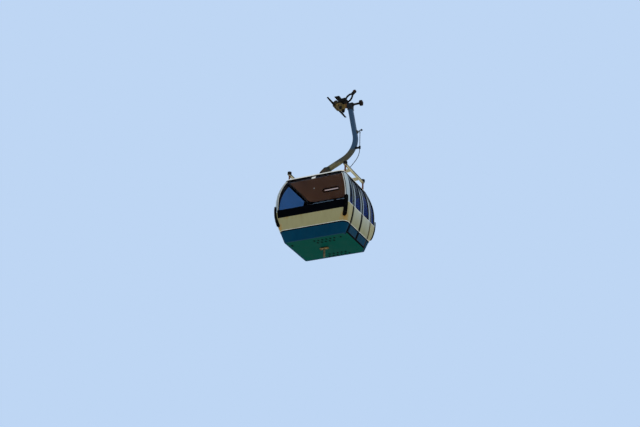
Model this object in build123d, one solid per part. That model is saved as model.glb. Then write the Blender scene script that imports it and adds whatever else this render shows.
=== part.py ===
from build123d import *
import math
import os

# Cabin of a detachable gondola lift with its hanger and its rope grip, in millimetres.
# Frame: the origin is on the rope's centre line in the middle of the grip, X runs along the rope,
# Z is up and the doors face -Y. "fore" is the +X end and "aft" the -X end.
# Heights of the cabin are taken from the underside of its floor, and its plan from its middle.

# Roof and its drop below the rope
roof_height = 1850
hanger_drop = 2250
rope_height = roof_height + hanger_drop
cabin_offset = 262
roof_rise = 88
lip_height = 40
lip_proud = 6
roof_edge = roof_height - roof_rise
eave_height = roof_edge - lip_height
cap_step = 6
cap_run = 250
cap_corner = 110
cap_thickness = 14

# Outline of the ends, seen from the side
end_half = 955
end_low_radius = 1030
end_high_radius = 1250
end_upright_top = 1080
end_slope_top = 400

# Outline of the sides, seen from the end
side_half = 1058
side_low_radius = 1800
side_high_radius = 1550
side_upright_top = 960
side_slope_top = 150

# Shared by both outlines
widest_height = 850
corner_radius = 180
floor_corner = 44
wall = 36

# Levels of the panels
skirt_top = 280
waist_top = 590
belt_top = 803
sill_height = 765

# Windows
glass_thickness = 8
seal_width = 22
seal_depth = 16
head_seal = 45
end_window_inset = 84
end_window_shift = -36
closed_post_width = 293
side_post_width = 170
window_corner = 40
glass_corner = 18
glass_top = eave_height - 42
side_window_start = 578
side_window_corner = 16

# Doors: two leaves with a glass each, between black seams as (middle, width)
aft_seam = (-530, 40)
middle_seam = (0, 40)
fore_seam = (530, 22)
door_bottom = 88
sill_top = 45
door_head_gap = 8
door_glass_near = 90
door_glass_far = 430
door_glass_corner = 40
door_glass_recess = 16
door_seal_recess = 6
door_seal_depth = 22

# Floor, its slots as (x, first y, number) in each row, and the ceiling
floor_thickness = 50
mat_thickness = 6
slot_length = 62
slot_width = 44
slot_pitch = 114
slot_rows = ((-455, 78, 6), (-322, 35, 5), (445, 53, 5), (570, 113, 6), (-451, -665, 1))
ceiling_rise = 30
ceiling_thickness = 10

# Benches
seat_height = 470
seat_thickness = 45
seat_front = 405
seat_half = 760
seat_corner = 70
gusset_spread = 500
gusset_thickness = 24
gusset_foot = 180
back_bottom = 545
back_top = 785
back_thickness = 40
back_half = 780

# Vent flaps in the end windows
vent_length = 480
vent_height = 104
vent_rim = 16
vent_rise = 1136
vent_side = 596
vent_proud = 9

# Rubber bumpers on the four corners
bumper_bottom = 385
bumper_top = 935
bumper_width = 98
bumper_proud = 32

# Bracket under the floor
guide_side = 4
guide_spacer = 24
guide_spacer_length = 196
guide_spacer_width = 56
stem_length = 274
stem_width = 46
flange_length = 236
flange_width = 74
flange_thickness = 18

# Frame on the roof
rail_side = 810
rail_half = 505
rail_width = 50
rail_height = 75
rail_bottom = roof_height + 112
tube_corner = 10
cross_x = 265
cross_width = 92
cross_height = 60
damper_radius = 44
damper_height = 87
damper_side = 520
bracket_thickness = 18
bracket_drop = 4

# Guide rollers at the rails' ends, each on a stem that stands on the roof
guide_x = 570
guide_radius = 55
guide_height = 80
guide_stem_radius = 22
guide_axle_radius = 9
guide_lift = 6
guide_rise = rail_bottom + 77.5
nut_height = 6
nut_radius = 20
nut_gap = 1
running_gap = 0.05

# Hanger: a bent box tube in the plane X = 0, as (Y, Z) from the rope
arm_depth = 122
arm_width = 118
arm_corner = 20
arm_bend_radius = 615
arm_knee = (-642, -1429)
arm_lean = 10.2
arm_fall = 25.4
arm_top = -40
arm_end = 230

# Hanger head, which swings on the grip's shaft
head_side = -400
head_length = 150
head_radius = 66
head_drop = 150
head_width = 140
head_depth = 142
head_shift = -6

# Hanger foot on the roof frame: a flanged neck under a cap that holds the tube
foot_base_length = 330
foot_base_width = 240
foot_margin = 60
foot_neck_length = 150
foot_neck_width = 128
foot_corner = 28
foot_flange = 16
foot_cap_half = 76
foot_cap_corner = 10
foot_cap = (
    (140, -1930),
    (148, -1806),
    (172, -1790),
    (300, -1790),
    (434, -1914),
    (434, -1948),
    (337, -1985),
    (187, -1985),
)

# Grip: jaw, posts and the plate on top, with profiles as (Y, Z)
rope_radius = 20
jaw_half = 138
jaw_edge = 6
jaw_profile = ((2, 45), (2, -14), (-50, -42), (-188, -46), (-188, 54), (-120, 58), (-60, 45))
lug_inner = 46
lug_thickness = 30
lug_radius = 36
pin_side = -95
pin_rise = 110
pin_radius = 18
post_width = 46
post_bottom = 40
plate_height = 282
plate_half = 160
plate_side = -48
plate_width = 136
plate_thickness = 24
boss_radius = 62
boss_start = -160
boss_end = -318
cup_radius = 36
cup_top = -44
cup_bottom = -112
cup_edge = 8
cup_side = -150
cup_x = 96

# Shaft from the grip through the hanger's head to the outer roller
shaft_radius = 29
shaft_start = -200
shaft_end = -772
swing_gap = 6
collar_radius = 46
collar_length = 18
spacer_radius = 40
end_nut_radius = 34
spin_gap = 2
outer_roller_radius = 80
outer_roller_width = 66
outer_roller_side = -716
tread_depth = 14
roller_edge = 6

# Moving jaw, with a cheek on each end
shoe_half = 130
cheek_thickness = 12
arm_profile = (
    (pin_side, 146),
    (0, 130),
    (62, 84),
    (68, 4),
    (34, -30),
    (9, -16),
    (9, 53),
    (-20, 56),
    (-60, 66),
    (pin_side, 76),
)
shoe_profile = ((62, 84), (68, 4), (34, -30), (9, -16), (9, 53), (20, 84))
cheek_profile = ((9, 56), (62, 84), (54, 124), (12, 160), (-38, 165), (-68, 142), (-72, 78), (-20, 66))

# Lever: a cast root, two arms that bow apart, and a neck with the roller's cheeks
fork_spread = 100
fork_thickness = 30
hub_radius = 32
root_profile = ((-135, 98), (-135, 172), (-210, 196), (-292, 202), (-312, 180), (-290, 138))
link_profile = ((pin_side, 90), (pin_side, 140), (-150, 168), (-150, 104))
root_half = 115
lever_start = (-290, 160)
lever_tip = (-517, 400)
bow = ((78, -30), (84, 20), (104, 92), (78, 176), (20, 236))
bow_fillet = 60
bow_radius = 25
neck_start = 216
neck_half = 43
neck_depth = 46
neck_clearance = 8
cheek_half = 43
roller_cheek = 15
roller_cheek_radius = 25
lever_roller_radius = 50
lever_roller_width = 44
lever_axle_radius = 12
axle_proud = 6

# Tongues along the rope
tongue_length = 462
tongue_root_radius = 38
tongue_tip_radius = 26
rope_clearance = 0.6
tongue_cut = 7

# Door control on the hanger, as (Y, Z)
control_pivot = (-628, -862)
control_elbow = (-668, -856)
control_roller = (-733, -824)
control_roller_radius = 27
control_roller_width = 26
control_plate = 12
control_spread = 44
control_pin_radius = 8
control_hub_radius = 20
control_eye_radius = 14
control_stub_radius = 7
control_arm_width = 26
control_tail_width = 22
control_gap = 2

# Control cable from the lever down to the roof
cable_radius = 9
gland_radius = 14
gland_length = 46
clip_height = -1354
clip_half = 26
clip_thickness = 36
clip_sleeve = 78
clip_reach = 156
cable_base = (120, 52)
cable_bend = 0.45
cable_points = [
    (-697, -930),
    (-697, -1354),
    (-692, -1495),
    (-650, -1630),
    (-570, -1745),
    (-470, -1850),
    (-375, -1955),
    (-318, -2060),
    (-300, -2142),
]

reach = 1400
form_top = roof_height
end_shape = (end_half, end_low_radius, end_high_radius, end_upright_top, end_slope_top)
side_shape = (side_half, side_low_radius, side_high_radius, side_upright_top, side_slope_top)
end_signs = {"fore": 1, "aft": -1}


def tangent_height(shape, inset=0):
    """Height at which the straight foot meets the lower arc."""
    half, low_radius, high_radius, upright_top, slope_top = shape
    return widest_height - (widest_height - slope_top) * (low_radius - inset) / low_radius


def half_at(shape, z, inset=0):
    """Half the cabin's width at a height, its wall moved inwards by inset."""
    half, low_radius, high_radius, upright_top, slope_top = shape
    low = low_radius - inset
    high = high_radius - inset
    tangent_z = tangent_height(shape, inset)
    if z < tangent_z:
        lean = math.asin((widest_height - slope_top) / low_radius)
        return half - low_radius + low * math.cos(lean) - math.tan(lean) * (tangent_z - z)
    if z < widest_height:
        return half - low_radius + math.sqrt(low**2 - (widest_height - z) ** 2)
    if z < upright_top:
        return half - inset
    return half - high_radius + math.sqrt(high**2 - (z - upright_top) ** 2)


def outline(plane, shape, inset=0, narrower=0):
    """Closed outline of the cabin: straight foot, arc to the widest height, upright, arc to the roof."""

    def point(z):
        return (half_at(shape, z, inset) - narrower, z)

    foot_top = tangent_height(shape, inset)
    upright_top = shape[3]
    edges = [
        Line(point(0), point(foot_top)),
        ThreePointArc(point(foot_top), point((foot_top + widest_height) / 2), point(widest_height)),
        Line(point(widest_height), point(upright_top)),
        ThreePointArc(point(upright_top), point((upright_top + form_top) / 2), point(form_top)),
    ]
    edges += [edge.mirror(Plane.YZ) for edge in edges]
    for z in (0, form_top):
        edges.append(Line(point(z), (-point(z)[0], z)))
    return plane * make_face(Curve() + edges)


made_forms = {}


def form(inset):
    """The cabin's solid form above its skirts, its wall moved inwards by inset."""
    if inset not in made_forms:
        solid = extrude(outline(Plane.XZ, end_shape, inset), reach, both=True)
        solid &= extrude(outline(Plane.YZ, side_shape, inset), reach, both=True)
        corners = [
            edge
            for edge in solid.edges()
            if abs((edge @ 0).Z - (edge @ 1).Z) > 1 and abs((edge @ 0.5).X) > 300 and abs((edge @ 0.5).Y) > 300
        ]
        made_forms[inset] = fillet(corners, corner_radius - inset)
    return made_forms[inset]


def skin(outer_inset, inner_inset):
    """Shell between two insets of the form."""
    return form(outer_inset) - form(inner_inset)


def level_face(z, inset, corner):
    """Rounded section of the cabin at a height."""
    length = 2 * half_at(end_shape, z, inset)
    width = 2 * half_at(side_shape, z, inset)
    return (Plane.XY.offset(z) * RectangleRounded(length, width, corner)).face()


def tray(inset):
    """The cabin below its skirts' top, where the corners sharpen towards the floor."""
    bottom = level_face(0, inset, floor_corner - inset)
    top = level_face(skirt_top, inset, corner_radius - inset)
    return loft([bottom, top], ruled=True)


def roof_cap(inset, thickness):
    """The shallow rise of the roof over its edge."""
    bottom = level_face(roof_edge, inset, corner_radius - inset)
    length = 2 * (half_at(end_shape, roof_edge) - cap_run)
    width = 2 * (half_at(side_shape, roof_edge) - cap_run)
    top = Plane.XY.offset(roof_height - thickness) * RectangleRounded(length, width, cap_corner)
    return loft([bottom, top.face()], ruled=True)


def span(x, y, z):
    """Box between the given pairs of x, y and z."""
    middle = Pos((x[0] + x[1]) / 2, (y[0] + y[1]) / 2, (z[0] + z[1]) / 2)
    return middle * Box(x[1] - x[0], y[1] - y[0], z[1] - z[0])


def band(z):
    return span((-reach, reach), (-reach, reach), z)


def end_side(sign, start=0):
    """Everything beyond start on one end, fore for +1 and aft for -1."""
    return span(sorted((sign * start, sign * reach)), (-reach, reach), (-10, roof_height + 10))


def within_sides(margin):
    """The room between the sides' outlines, each moved inwards by margin."""
    return extrude(outline(Plane.YZ, side_shape, narrower=margin), reach, both=True)


def within_ends(margin):
    return extrude(outline(Plane.XZ, end_shape, narrower=margin), reach, both=True)


def end_bay(edge=0):
    """The width of an end window, which lies nearer to the door side."""
    return Pos(0, end_window_shift, 0) * within_sides(end_window_inset + edge)


def round_top(room, axis, top, radius):
    """Rounds a room's upper corners."""
    upper = [item for item in room.edges().filter_by(axis) if item.center().Z > top - 1]
    return fillet(upper, radius)


def end_window_room(sign, for_glass=False):
    """Room of an end window with its seal, or of its glass alone."""
    edge = seal_width if for_glass else 0
    top = eave_height - (head_seal if for_glass else 0)
    room = end_bay(edge) & band((belt_top, top)) & end_side(sign, 300)
    return round_top(room, Axis.X, top, glass_corner if for_glass else window_corner)


def closed_window_room(edge=0):
    """Room of the window opposite the doors."""
    top = eave_height - edge
    room = within_ends(closed_post_width + edge) & band((belt_top, top))
    room &= span((-reach, reach), (300, reach), (0, roof_height))
    return round_top(room, Axis.Y, top, window_corner - edge)


def side_window_room(sign):
    """Room of the narrow window beside the doors, tapered by the end's outline."""
    room = within_ends(side_post_width) & band((sill_height, glass_top))
    room &= span(sorted((sign * side_window_start, sign * reach)), (-reach, -300), (0, roof_height))
    inner = [item for item in room.edges().filter_by(Axis.Y) if abs(item.center().X) < side_window_start + 1]
    return fillet(inner, side_window_corner)


def door_glass_room(sign):
    width = door_glass_far - door_glass_near
    height = glass_top - sill_height
    middle = Pos(sign * (door_glass_near + width / 2), sill_height + height / 2)
    face = Plane.XZ * middle * RectangleRounded(width, height, door_glass_corner)
    return extrude(face, reach)


def seam_edge(seam, sign):
    """The x of a seam's edge, towards fore for +1 and aft for -1."""
    return seam[0] + sign * seam[1] / 2


door_edges = {"fore": seam_edge(fore_seam, 1), "aft": seam_edge(aft_seam, -1)}
leaf_edges = {
    "fore": (seam_edge(middle_seam, 1), seam_edge(fore_seam, -1)),
    "aft": (seam_edge(aft_seam, 1), seam_edge(middle_seam, -1)),
}


def corner_zone(end):
    """An end of the cabin with its two corners, as far as the doors and the closed side's bay."""
    sign = end_signs[end]
    door_part = span(sorted((door_edges[end], sign * reach)), (-reach, 0), (-10, roof_height))
    closed_part = span(sorted((0, sign * reach)), (0, reach), (-10, roof_height)) - within_ends(closed_post_width)
    end_part = end_side(sign, 300) & end_bay()
    return door_part + (closed_part + end_part)


def closed_bay():
    """The closed side between its corners."""
    bay = within_ends(closed_post_width) & span((-reach, reach), (300, reach), (-10, roof_height))
    return bay - end_bay()


def door_zone(z):
    """The door side between its corners."""
    return span((door_edges["aft"], door_edges["fore"]), (-reach, 0), z)


pieces = {}
cabin_place = Pos(0, cabin_offset, -rope_height)


def keep(name, *solids):
    """A piece of one solid, or of like solids that don't touch."""
    found = [part for solid in solids for part in solid.solids()]
    pieces[name] = found[0] if len(found) == 1 else Compound(found)


def keep_cabin(name, *solids):
    keep(name, *[cabin_place * solid for solid in solids])


def make_shell():
    walls = skin(0, wall)
    skirts = tray(0) - tray(wall)
    corner_top = band((waist_top, sill_height)) - end_bay()
    for end, sign in end_signs.items():
        zone = corner_zone(end)
        keep_cabin(f"skirt_{end}", skirts & zone)
        keep_cabin(f"waist_{end}", walls & zone & (band((skirt_top, waist_top)) + corner_top))
        keep_cabin(f"belt_{end}", walls & end_bay() & end_side(sign, 300) & band((waist_top, belt_top)))
        post_room = (walls & zone & band((sill_height, eave_height))) - end_bay()
        keep_cabin(f"posts_{end}", post_room - side_window_room(sign))
    bay = closed_bay()
    keep_cabin("skirt_closed_side", skirts & bay)
    keep_cabin("waist_closed_side", walls & bay & band((skirt_top, waist_top)))
    keep_cabin("belt_closed_side", walls & bay & band((waist_top, belt_top)))
    keep_cabin("door_sill", skirts & door_zone((0, sill_top)))
    lip = skin(-lip_proud, wall) & band((eave_height, roof_edge))
    keep_cabin("roof_shell", lip + (roof_cap(cap_step, 0) - roof_cap(wall, cap_thickness)))


def make_windows():
    glass = skin(0, glass_thickness)
    seal = skin(0, seal_depth)
    pane = skin(door_glass_recess, door_glass_recess + glass_thickness)
    rim_skin = skin(-vent_proud, seal_depth)
    seals = [seal & (closed_window_room() - closed_window_room(seal_width))]
    rims = []
    flaps = []
    side_panes = []
    for end, sign in end_signs.items():
        vent = vent_room(sign, 0)
        flap = vent_room(sign, vent_rim)
        keep_cabin(f"end_window_{end}", (glass & end_window_room(sign, True)) - vent)
        seals.append(seal & (end_window_room(sign) - end_window_room(sign, True)))
        rims.append(rim_skin & (vent - flap))
        flaps.append(glass & flap)
        side_panes.append(pane & side_window_room(sign))
    keep_cabin("closed_side_window", glass & closed_window_room(seal_width))
    keep_cabin("side_windows", *side_panes)
    keep_cabin("window_seals", *seals)
    keep_cabin("vent_rims", *rims)
    keep_cabin("vent_flaps", *flaps)


def vent_room(sign, edge):
    """Oblong room of a vent flap, near the door side of its end window."""
    middle = Pos(-vent_side, vent_rise)
    face = Plane.YZ * middle * SlotOverall(vent_length - 2 * edge, vent_height - 2 * edge)
    return extrude(face, sign * reach)


def make_doors():
    """Door leaves, their panes, and the rubber of the seams with the strip under the doors."""
    leaf_top = eave_height - door_head_gap
    leaf = skin(0, wall) & band((door_bottom, leaf_top))
    pane = skin(door_glass_recess, door_glass_recess + glass_thickness)
    for end, sign in end_signs.items():
        room = span(leaf_edges[end], (-reach, 0), (0, roof_height))
        keep_cabin(f"door_leaf_{end}", (leaf & room) - door_glass_room(sign))
        keep_cabin(f"door_glass_{end}", pane & door_glass_room(sign))
    room = door_zone((sill_top, door_bottom))
    for seam in (aft_seam, middle_seam, fore_seam):
        room += span((seam_edge(seam, -1), seam_edge(seam, 1)), (-reach, 0), (sill_top, leaf_top))
    keep_cabin("door_seals", skin(door_seal_recess, door_seal_recess + door_seal_depth) & room)


def make_floor_and_lining():
    inside = tray(wall)
    pan = inside & band((0, floor_thickness))
    for x, first_y, number in slot_rows:
        for index in range(number):
            slot = Pos(x, first_y - index * slot_pitch) * SlotOverall(slot_length, slot_width)
            pan -= extrude(slot, floor_thickness)
    keep_cabin("floor_pan", pan)
    keep_cabin("floor_mat", inside & band((floor_thickness, floor_thickness + mat_thickness)))
    ceiling_height = eave_height + ceiling_rise
    keep_cabin("ceiling_panel", form(wall) & band((ceiling_height, ceiling_height + ceiling_thickness)))
    place = Pos(0, guide_side, -guide_spacer / 2)
    spacer = place * Box(guide_spacer_width, guide_spacer_length, guide_spacer)
    place = Pos(0, guide_side, -guide_spacer - flange_thickness / 2)
    flange = place * Box(flange_width, flange_length, flange_thickness)
    flange = fillet(flange.edges().filter_by(Axis.Z), flange_width / 5)
    stem = Pos(0, guide_side, -stem_length / 2) * Box(stem_width, stem_width, stem_length)
    stem = fillet(stem.edges().filter_by(Axis.Z), stem_width / 5)
    keep_cabin("floor_guide", spacer + flange + stem)


def make_benches():
    seat_bottom = seat_height - seat_thickness
    backs = []
    for end, sign in end_signs.items():
        length = sorted((sign * seat_front, sign * reach))
        room = span(length, (-seat_half, seat_half), (seat_bottom, seat_height))
        front = [edge for edge in room.edges().filter_by(Axis.Z) if abs(edge.center().X) < seat_front + 1]
        bench = fillet(front, seat_corner)
        for y in (-gusset_spread, gusset_spread):
            corners = [
                (sign * (seat_front + seat_corner), seat_bottom),
                (sign * reach, seat_bottom),
                (sign * reach, gusset_foot),
                (sign * (end_half - gusset_foot), gusset_foot),
            ]
            face = Plane.XZ * make_face(Polyline(*corners, close=True))
            bench += Pos(0, y, 0) * extrude(face, gusset_thickness)
        keep_cabin(f"bench_{end}", bench & form(wall))
        back = skin(wall, wall + back_thickness) & end_side(sign, 300)
        back &= span((-reach, reach), (-back_half, back_half), (back_bottom, back_top))
        backs.append(back)
    keep_cabin("bench_backs", *backs)


def make_bumpers():
    """Oblong pads that follow the corners' curve."""
    middle = (bumper_top + bumper_bottom) / 2
    pad = skin(-bumper_proud, 0)
    oblong = Plane.YZ * (Rot(0, 0, 90) * SlotOverall(bumper_top - bumper_bottom, bumper_width))
    solids = []
    for along, side in ((1, 1), (-1, 1), (-1, -1), (1, -1)):
        turn = math.degrees(math.atan2(side, along))
        start = Pos(along * (end_half - corner_radius), side * (side_half - corner_radius), middle)
        solids.append(pad & extrude(start * Rot(0, 0, turn) * oblong, reach))
    keep_cabin("corner_bumpers", *solids)


def box_tube(length, width, height, corner):
    return fillet(Box(length, width, height).edges().filter_by(Axis.X), corner)


def make_roof_frame():
    rail_middle = rail_bottom + rail_height / 2
    rail = box_tube(2 * rail_half, rail_width, rail_height, tube_corner)
    rails = [Pos(0, side * rail_side, rail_middle) * rail for side in (-1, 1)]
    cross_bottom = roof_height + damper_height
    cross_middle = cross_bottom + cross_height / 2
    cross = Rot(0, 0, 90) * box_tube(2 * rail_side - rail_width, cross_width, cross_height, tube_corner)
    crosses = [Pos(x, 0, cross_middle) * cross for x in (-cross_x, cross_x)]
    bed = Pos(0, 0, cross_middle) * Box(2 * cross_x - cross_width, foot_base_width, cross_height)
    frame = rails[0] + rails[1] + crosses[0] + crosses[1] + bed
    places = {"fore_door": (1, -1), "fore_closed": (1, 1), "aft_door": (-1, -1), "aft_closed": (-1, 1)}
    bracket_z = rail_bottom + bracket_drop
    roller_bottom = guide_rise - guide_height / 2
    roller_top = guide_rise + guide_height / 2
    stem_bottom = roof_edge
    stem_top = roller_bottom - guide_lift
    axle_top = roller_top + nut_gap + 2 * nut_height
    roller = Cylinder(guide_radius, guide_height)
    roller = fillet(roller.edges().filter_by(GeomType.CIRCLE), guide_radius / 5)
    roller -= Cylinder(guide_axle_radius + running_gap, guide_height)
    cap = roof_cap(cap_step, 0)
    axles = []
    for name, (along, side) in places.items():
        place = Pos(along * guide_x, side * rail_side, 0)
        x = sorted((along * (rail_half - 10), along * (guide_x + guide_stem_radius + 8)))
        y = (side * rail_side - rail_width / 2, side * rail_side + rail_width / 2)
        frame += span(x, y, (bracket_z, bracket_z + bracket_thickness))
        stem = Pos(0, 0, (stem_bottom + stem_top) / 2) * Cylinder(guide_stem_radius, stem_top - stem_bottom)
        frame -= place * stem
        keep_cabin(f"guide_roller_{name}", place * Pos(0, 0, guide_rise) * roller)
        axle = Pos(0, 0, (stem_bottom + axle_top) / 2) * Cylinder(guide_axle_radius, axle_top - stem_bottom)
        nut = Pos(0, 0, roller_top + nut_gap + nut_height / 2) * Cylinder(nut_radius, nut_height)
        axles.append(place * (stem + axle + nut) - cap)
    keep_cabin("roof_frame", frame)
    keep_cabin("guide_axles", *axles)
    dampers = [
        Pos(x, y, roof_height + damper_height / 2) * Cylinder(damper_radius, damper_height)
        for x in (-cross_x, cross_x)
        for y in (-damper_side, damper_side)
    ]
    keep_cabin("roof_dampers", *dampers)


def arm_points():
    """Centre line of the hanger tube: top, knee and lower end."""
    knee_y, knee_z = arm_knee
    top = (0, knee_y + (arm_top - knee_z) * math.tan(math.radians(arm_lean)), arm_top)
    end = (0, arm_end, knee_z - (arm_end - knee_y) * math.tan(math.radians(arm_fall)))
    return top, (0, knee_y, knee_z), end


def arm_face(z):
    """The Y of the hanger tube's outer face on its straight upper run."""
    top, knee, end = arm_points()
    slant = (knee[1] - top[1]) / (knee[2] - top[2])
    return top[1] + (z - top[2]) * slant - arm_depth / 2


def side_face(points):
    """Face in the plane X = 0 from (Y, Z) points."""
    return make_face(Plane.YZ * Polyline(*points, close=True))


def slab(face, x_inner, x_outer):
    """A face of the plane X = 0 extruded from one X to another."""
    return extrude(Pos(x_inner, 0, 0) * face, x_outer - x_inner, dir=(1, 0, 0))


def plate(points, x_near, x_far):
    """A flat piece from (Y, Z) points between two X."""
    x_inner, x_outer = sorted((x_near, x_far))
    return slab(side_face(points), x_inner, x_outer)


def disc(radius, y, z, x_near, x_far):
    """Disc with its axis along X."""
    middle = Pos((x_near + x_far) / 2, y, z)
    return middle * Rot(0, 90, 0) * Cylinder(radius, abs(x_far - x_near))


def bar(radius, y_near, y_far, x=0, z=0):
    """Round bar along Y."""
    return Pos(x, (y_near + y_far) / 2, z) * Rot(90, 0, 0) * Cylinder(radius, abs(y_near - y_far))


def make_hanger():
    top, knee, end = arm_points()
    path = FilletPolyline(top, knee, end, radius=arm_bend_radius)
    start = Plane(origin=path @ 0, x_dir=(1, 0, 0), z_dir=path % 0)
    arm = sweep(start * RectangleRounded(arm_width, arm_depth, arm_corner), path=path)
    keep("hanger_arm", arm)
    eye = bar(head_radius, head_side - head_length / 2, head_side + head_length / 2)
    block = Pos(0, head_side + head_shift, -head_drop / 2) * Box(head_width, head_depth, head_drop)
    block = fillet(block.edges().filter_by(Axis.Z), arm_corner)
    bore = bar(shaft_radius + running_gap, head_side - head_length, head_side + head_length)
    keep("hanger_head", eye + block - bore - arm)
    base_z = roof_height + damper_height + cross_height - rope_height
    neck_z = min(point[1] for point in foot_cap)
    base = Plane(origin=(0, cabin_offset, base_z + foot_flange)) * RectangleRounded(
        foot_base_length - foot_margin, foot_base_width - foot_margin, foot_corner
    )
    neck = Plane(origin=(0, cabin_offset, neck_z)) * RectangleRounded(
        foot_neck_width, foot_neck_length, foot_corner
    )
    flange = Pos(0, cabin_offset, base_z + foot_flange / 2) * Box(
        foot_base_length, foot_base_width, foot_flange
    )
    flange = fillet(flange.edges().filter_by(Axis.Z), foot_corner)
    cap = slab(side_face(foot_cap), -foot_cap_half, foot_cap_half)
    cap = fillet(cap.edges(), foot_cap_corner)
    keep("hanger_foot", loft([base.face(), neck.face()]) + flange + cap - arm)


def make_grip():
    """The fixed jaw with its posts and boss, the plate on the posts and the spring cups."""
    body = slab(side_face(jaw_profile), -jaw_half, jaw_half)
    body = fillet(body.edges().filter_by(Axis.Z), jaw_edge)
    body += bar(boss_radius, boss_start, boss_end)
    plate_bottom = plate_height - plate_thickness / 2
    plate_top = plate_height + plate_thickness / 2
    post_front = pin_side + post_width / 2
    post_back = pin_side - post_width / 2
    post = [(post_back, post_bottom), (post_front, post_bottom), (post_front, plate_bottom), (post_back, plate_bottom)]
    for sign in (-1, 1):
        near = sign * lug_inner
        far = sign * (lug_inner + lug_thickness)
        body += plate(post, near, far) + disc(lug_radius, pin_side, pin_rise, near, far)
    body -= disc(rope_radius, 0, 0, -reach, reach)
    body -= disc(pin_radius + running_gap, pin_side, pin_rise, -reach, reach)
    body -= bar(shaft_radius, shaft_start, boss_end - 10)
    keep("grip_body", body)
    flat_half = plate_half - 2 * plate_thickness
    ramp = [
        (-flat_half, plate_top),
        (flat_half, plate_top),
        (plate_half, plate_bottom),
        (-plate_half, plate_bottom),
    ]
    slide = extrude(Plane.XZ * make_face(Polyline(*ramp, close=True)), plate_width / 2, both=True)
    keep("friction_plate", Pos(0, plate_side, 0) * slide)
    cup = Pos(0, cup_side, (cup_bottom + cup_top) / 2) * Cylinder(cup_radius, cup_top - cup_bottom)
    cup = fillet(cup.edges().filter_by(GeomType.CIRCLE).sort_by(Axis.Z)[0], cup_edge)
    keep("spring_cups", *[Pos(x, 0, 0) * cup - body for x in (-cup_x, cup_x)])


def make_shaft():
    head_far = head_side - head_length / 2
    collar_start = head_far - swing_gap
    roller_near = outer_roller_side + outer_roller_width / 2
    roller_far = outer_roller_side - outer_roller_width / 2
    shaft = bar(shaft_radius, shaft_start, shaft_end)
    shaft += bar(collar_radius, collar_start, collar_start - collar_length)
    shaft += bar(spacer_radius, roller_near + spin_gap + collar_length, roller_near + spin_gap)
    shaft += bar(end_nut_radius, roller_far - spin_gap, roller_far - spin_gap - collar_length)
    keep("pivot_shaft", shaft)
    roller = bar(outer_roller_radius, roller_near, roller_far)
    roller = fillet(roller.edges().filter_by(GeomType.CIRCLE), roller_edge)
    for y in (roller_near, roller_far):
        roller -= bar(outer_roller_radius - 2 * tread_depth, y - 10, y + 10)
    roller -= bar(shaft_radius + running_gap, roller_near + 1, roller_far - 1)
    keep("outer_roller", roller)


def make_moving_jaw():
    hub_half = lug_inner - 1
    jaw = slab(side_face(arm_profile), -hub_half, hub_half)
    jaw += slab(side_face(shoe_profile), -shoe_half, shoe_half)
    jaw += disc(lug_radius, pin_side, pin_rise, -hub_half, hub_half)
    for sign in (-1, 1):
        jaw += plate(cheek_profile, sign * (shoe_half - cheek_thickness), sign * shoe_half)
    jaw -= disc(rope_radius, 0, 0, -reach, reach)
    jaw -= disc(pin_radius, pin_side, pin_rise, -reach, reach)
    keep("moving_jaw", jaw)


def make_lever():
    """The lever: pin hubs, cast root, two arms that bow apart in the lever's slope, neck and cheeks."""
    inner = fork_spread - fork_thickness / 2
    outer = fork_spread + fork_thickness / 2
    pin_half = outer + 10
    keep("lever_pin", disc(pin_radius, pin_side, pin_rise, -pin_half, pin_half))
    lever = slab(side_face(root_profile), -root_half, root_half)
    for sign in (-1, 1):
        lever += disc(hub_radius, pin_side, pin_rise, sign * inner, sign * outer)
        lever += plate(link_profile, sign * inner, sign * outer)
    run = Vector(0, lever_tip[0] - lever_start[0], lever_tip[1] - lever_start[1])
    slope = Plane(origin=(0, *lever_start), x_dir=(1, 0, 0), z_dir=Vector(1, 0, 0).cross(run))
    for sign in (-1, 1):
        points = [slope.from_local_coords((sign * x, along, 0)) for x, along in bow]
        path = FilletPolyline(*points, radius=bow_fillet)
        section = Plane(origin=path @ 0, z_dir=path % 0) * Circle(bow_radius)
        lever += sweep(section, path=path)
    neck_end = run.length - lever_roller_radius - neck_clearance
    neck_middle = slope.from_local_coords((0, (neck_start + neck_end) / 2, 0))
    neck_plane = Plane(origin=neck_middle, x_dir=(1, 0, 0), z_dir=slope.z_dir)
    neck = neck_plane * Box(2 * neck_half, neck_end - neck_start, neck_depth)
    lever += fillet(neck.edges().filter_by(Axis.X), 8)
    cheek_length = run.length - neck_start
    for sign in (-1, 1):
        x = sign * (cheek_half - roller_cheek / 2)
        middle = slope.from_local_coords((x, neck_start + cheek_length / 2, 0))
        cheek_plane = Plane(origin=middle, x_dir=(1, 0, 0), z_dir=slope.z_dir)
        lever += cheek_plane * Box(roller_cheek, cheek_length, 2 * roller_cheek_radius * 0.9)
        lever += disc(roller_cheek_radius, *lever_tip, x - roller_cheek / 2, x + roller_cheek / 2)
    axle_half = cheek_half + axle_proud
    lever += disc(lever_axle_radius, *lever_tip, -axle_half, axle_half)
    keep("fork_lever", lever - disc(pin_radius, pin_side, pin_rise, -reach, reach))
    half = lever_roller_width / 2
    roller = disc(lever_roller_radius, *lever_tip, -half, half)
    roller = fillet(roller.edges().filter_by(GeomType.CIRCLE), roller_edge)
    keep("lever_roller", roller - disc(lever_axle_radius + running_gap, *lever_tip, -half, half))


def strip_face(points, width):
    """A strip of even width along (Y, Z) points, in the plane X = 0."""
    left = []
    right = []
    for index, (y, z) in enumerate(points):
        before = points[max(index - 1, 0)]
        after = points[min(index + 1, len(points) - 1)]
        run = math.hypot(after[0] - before[0], after[1] - before[1])
        normal = (-(after[1] - before[1]) / run, (after[0] - before[0]) / run)
        left.append((y + normal[0] * width / 2, z + normal[1] * width / 2))
        right.append((y - normal[0] * width / 2, z - normal[1] * width / 2))
    return side_face(left + right[::-1])


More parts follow.
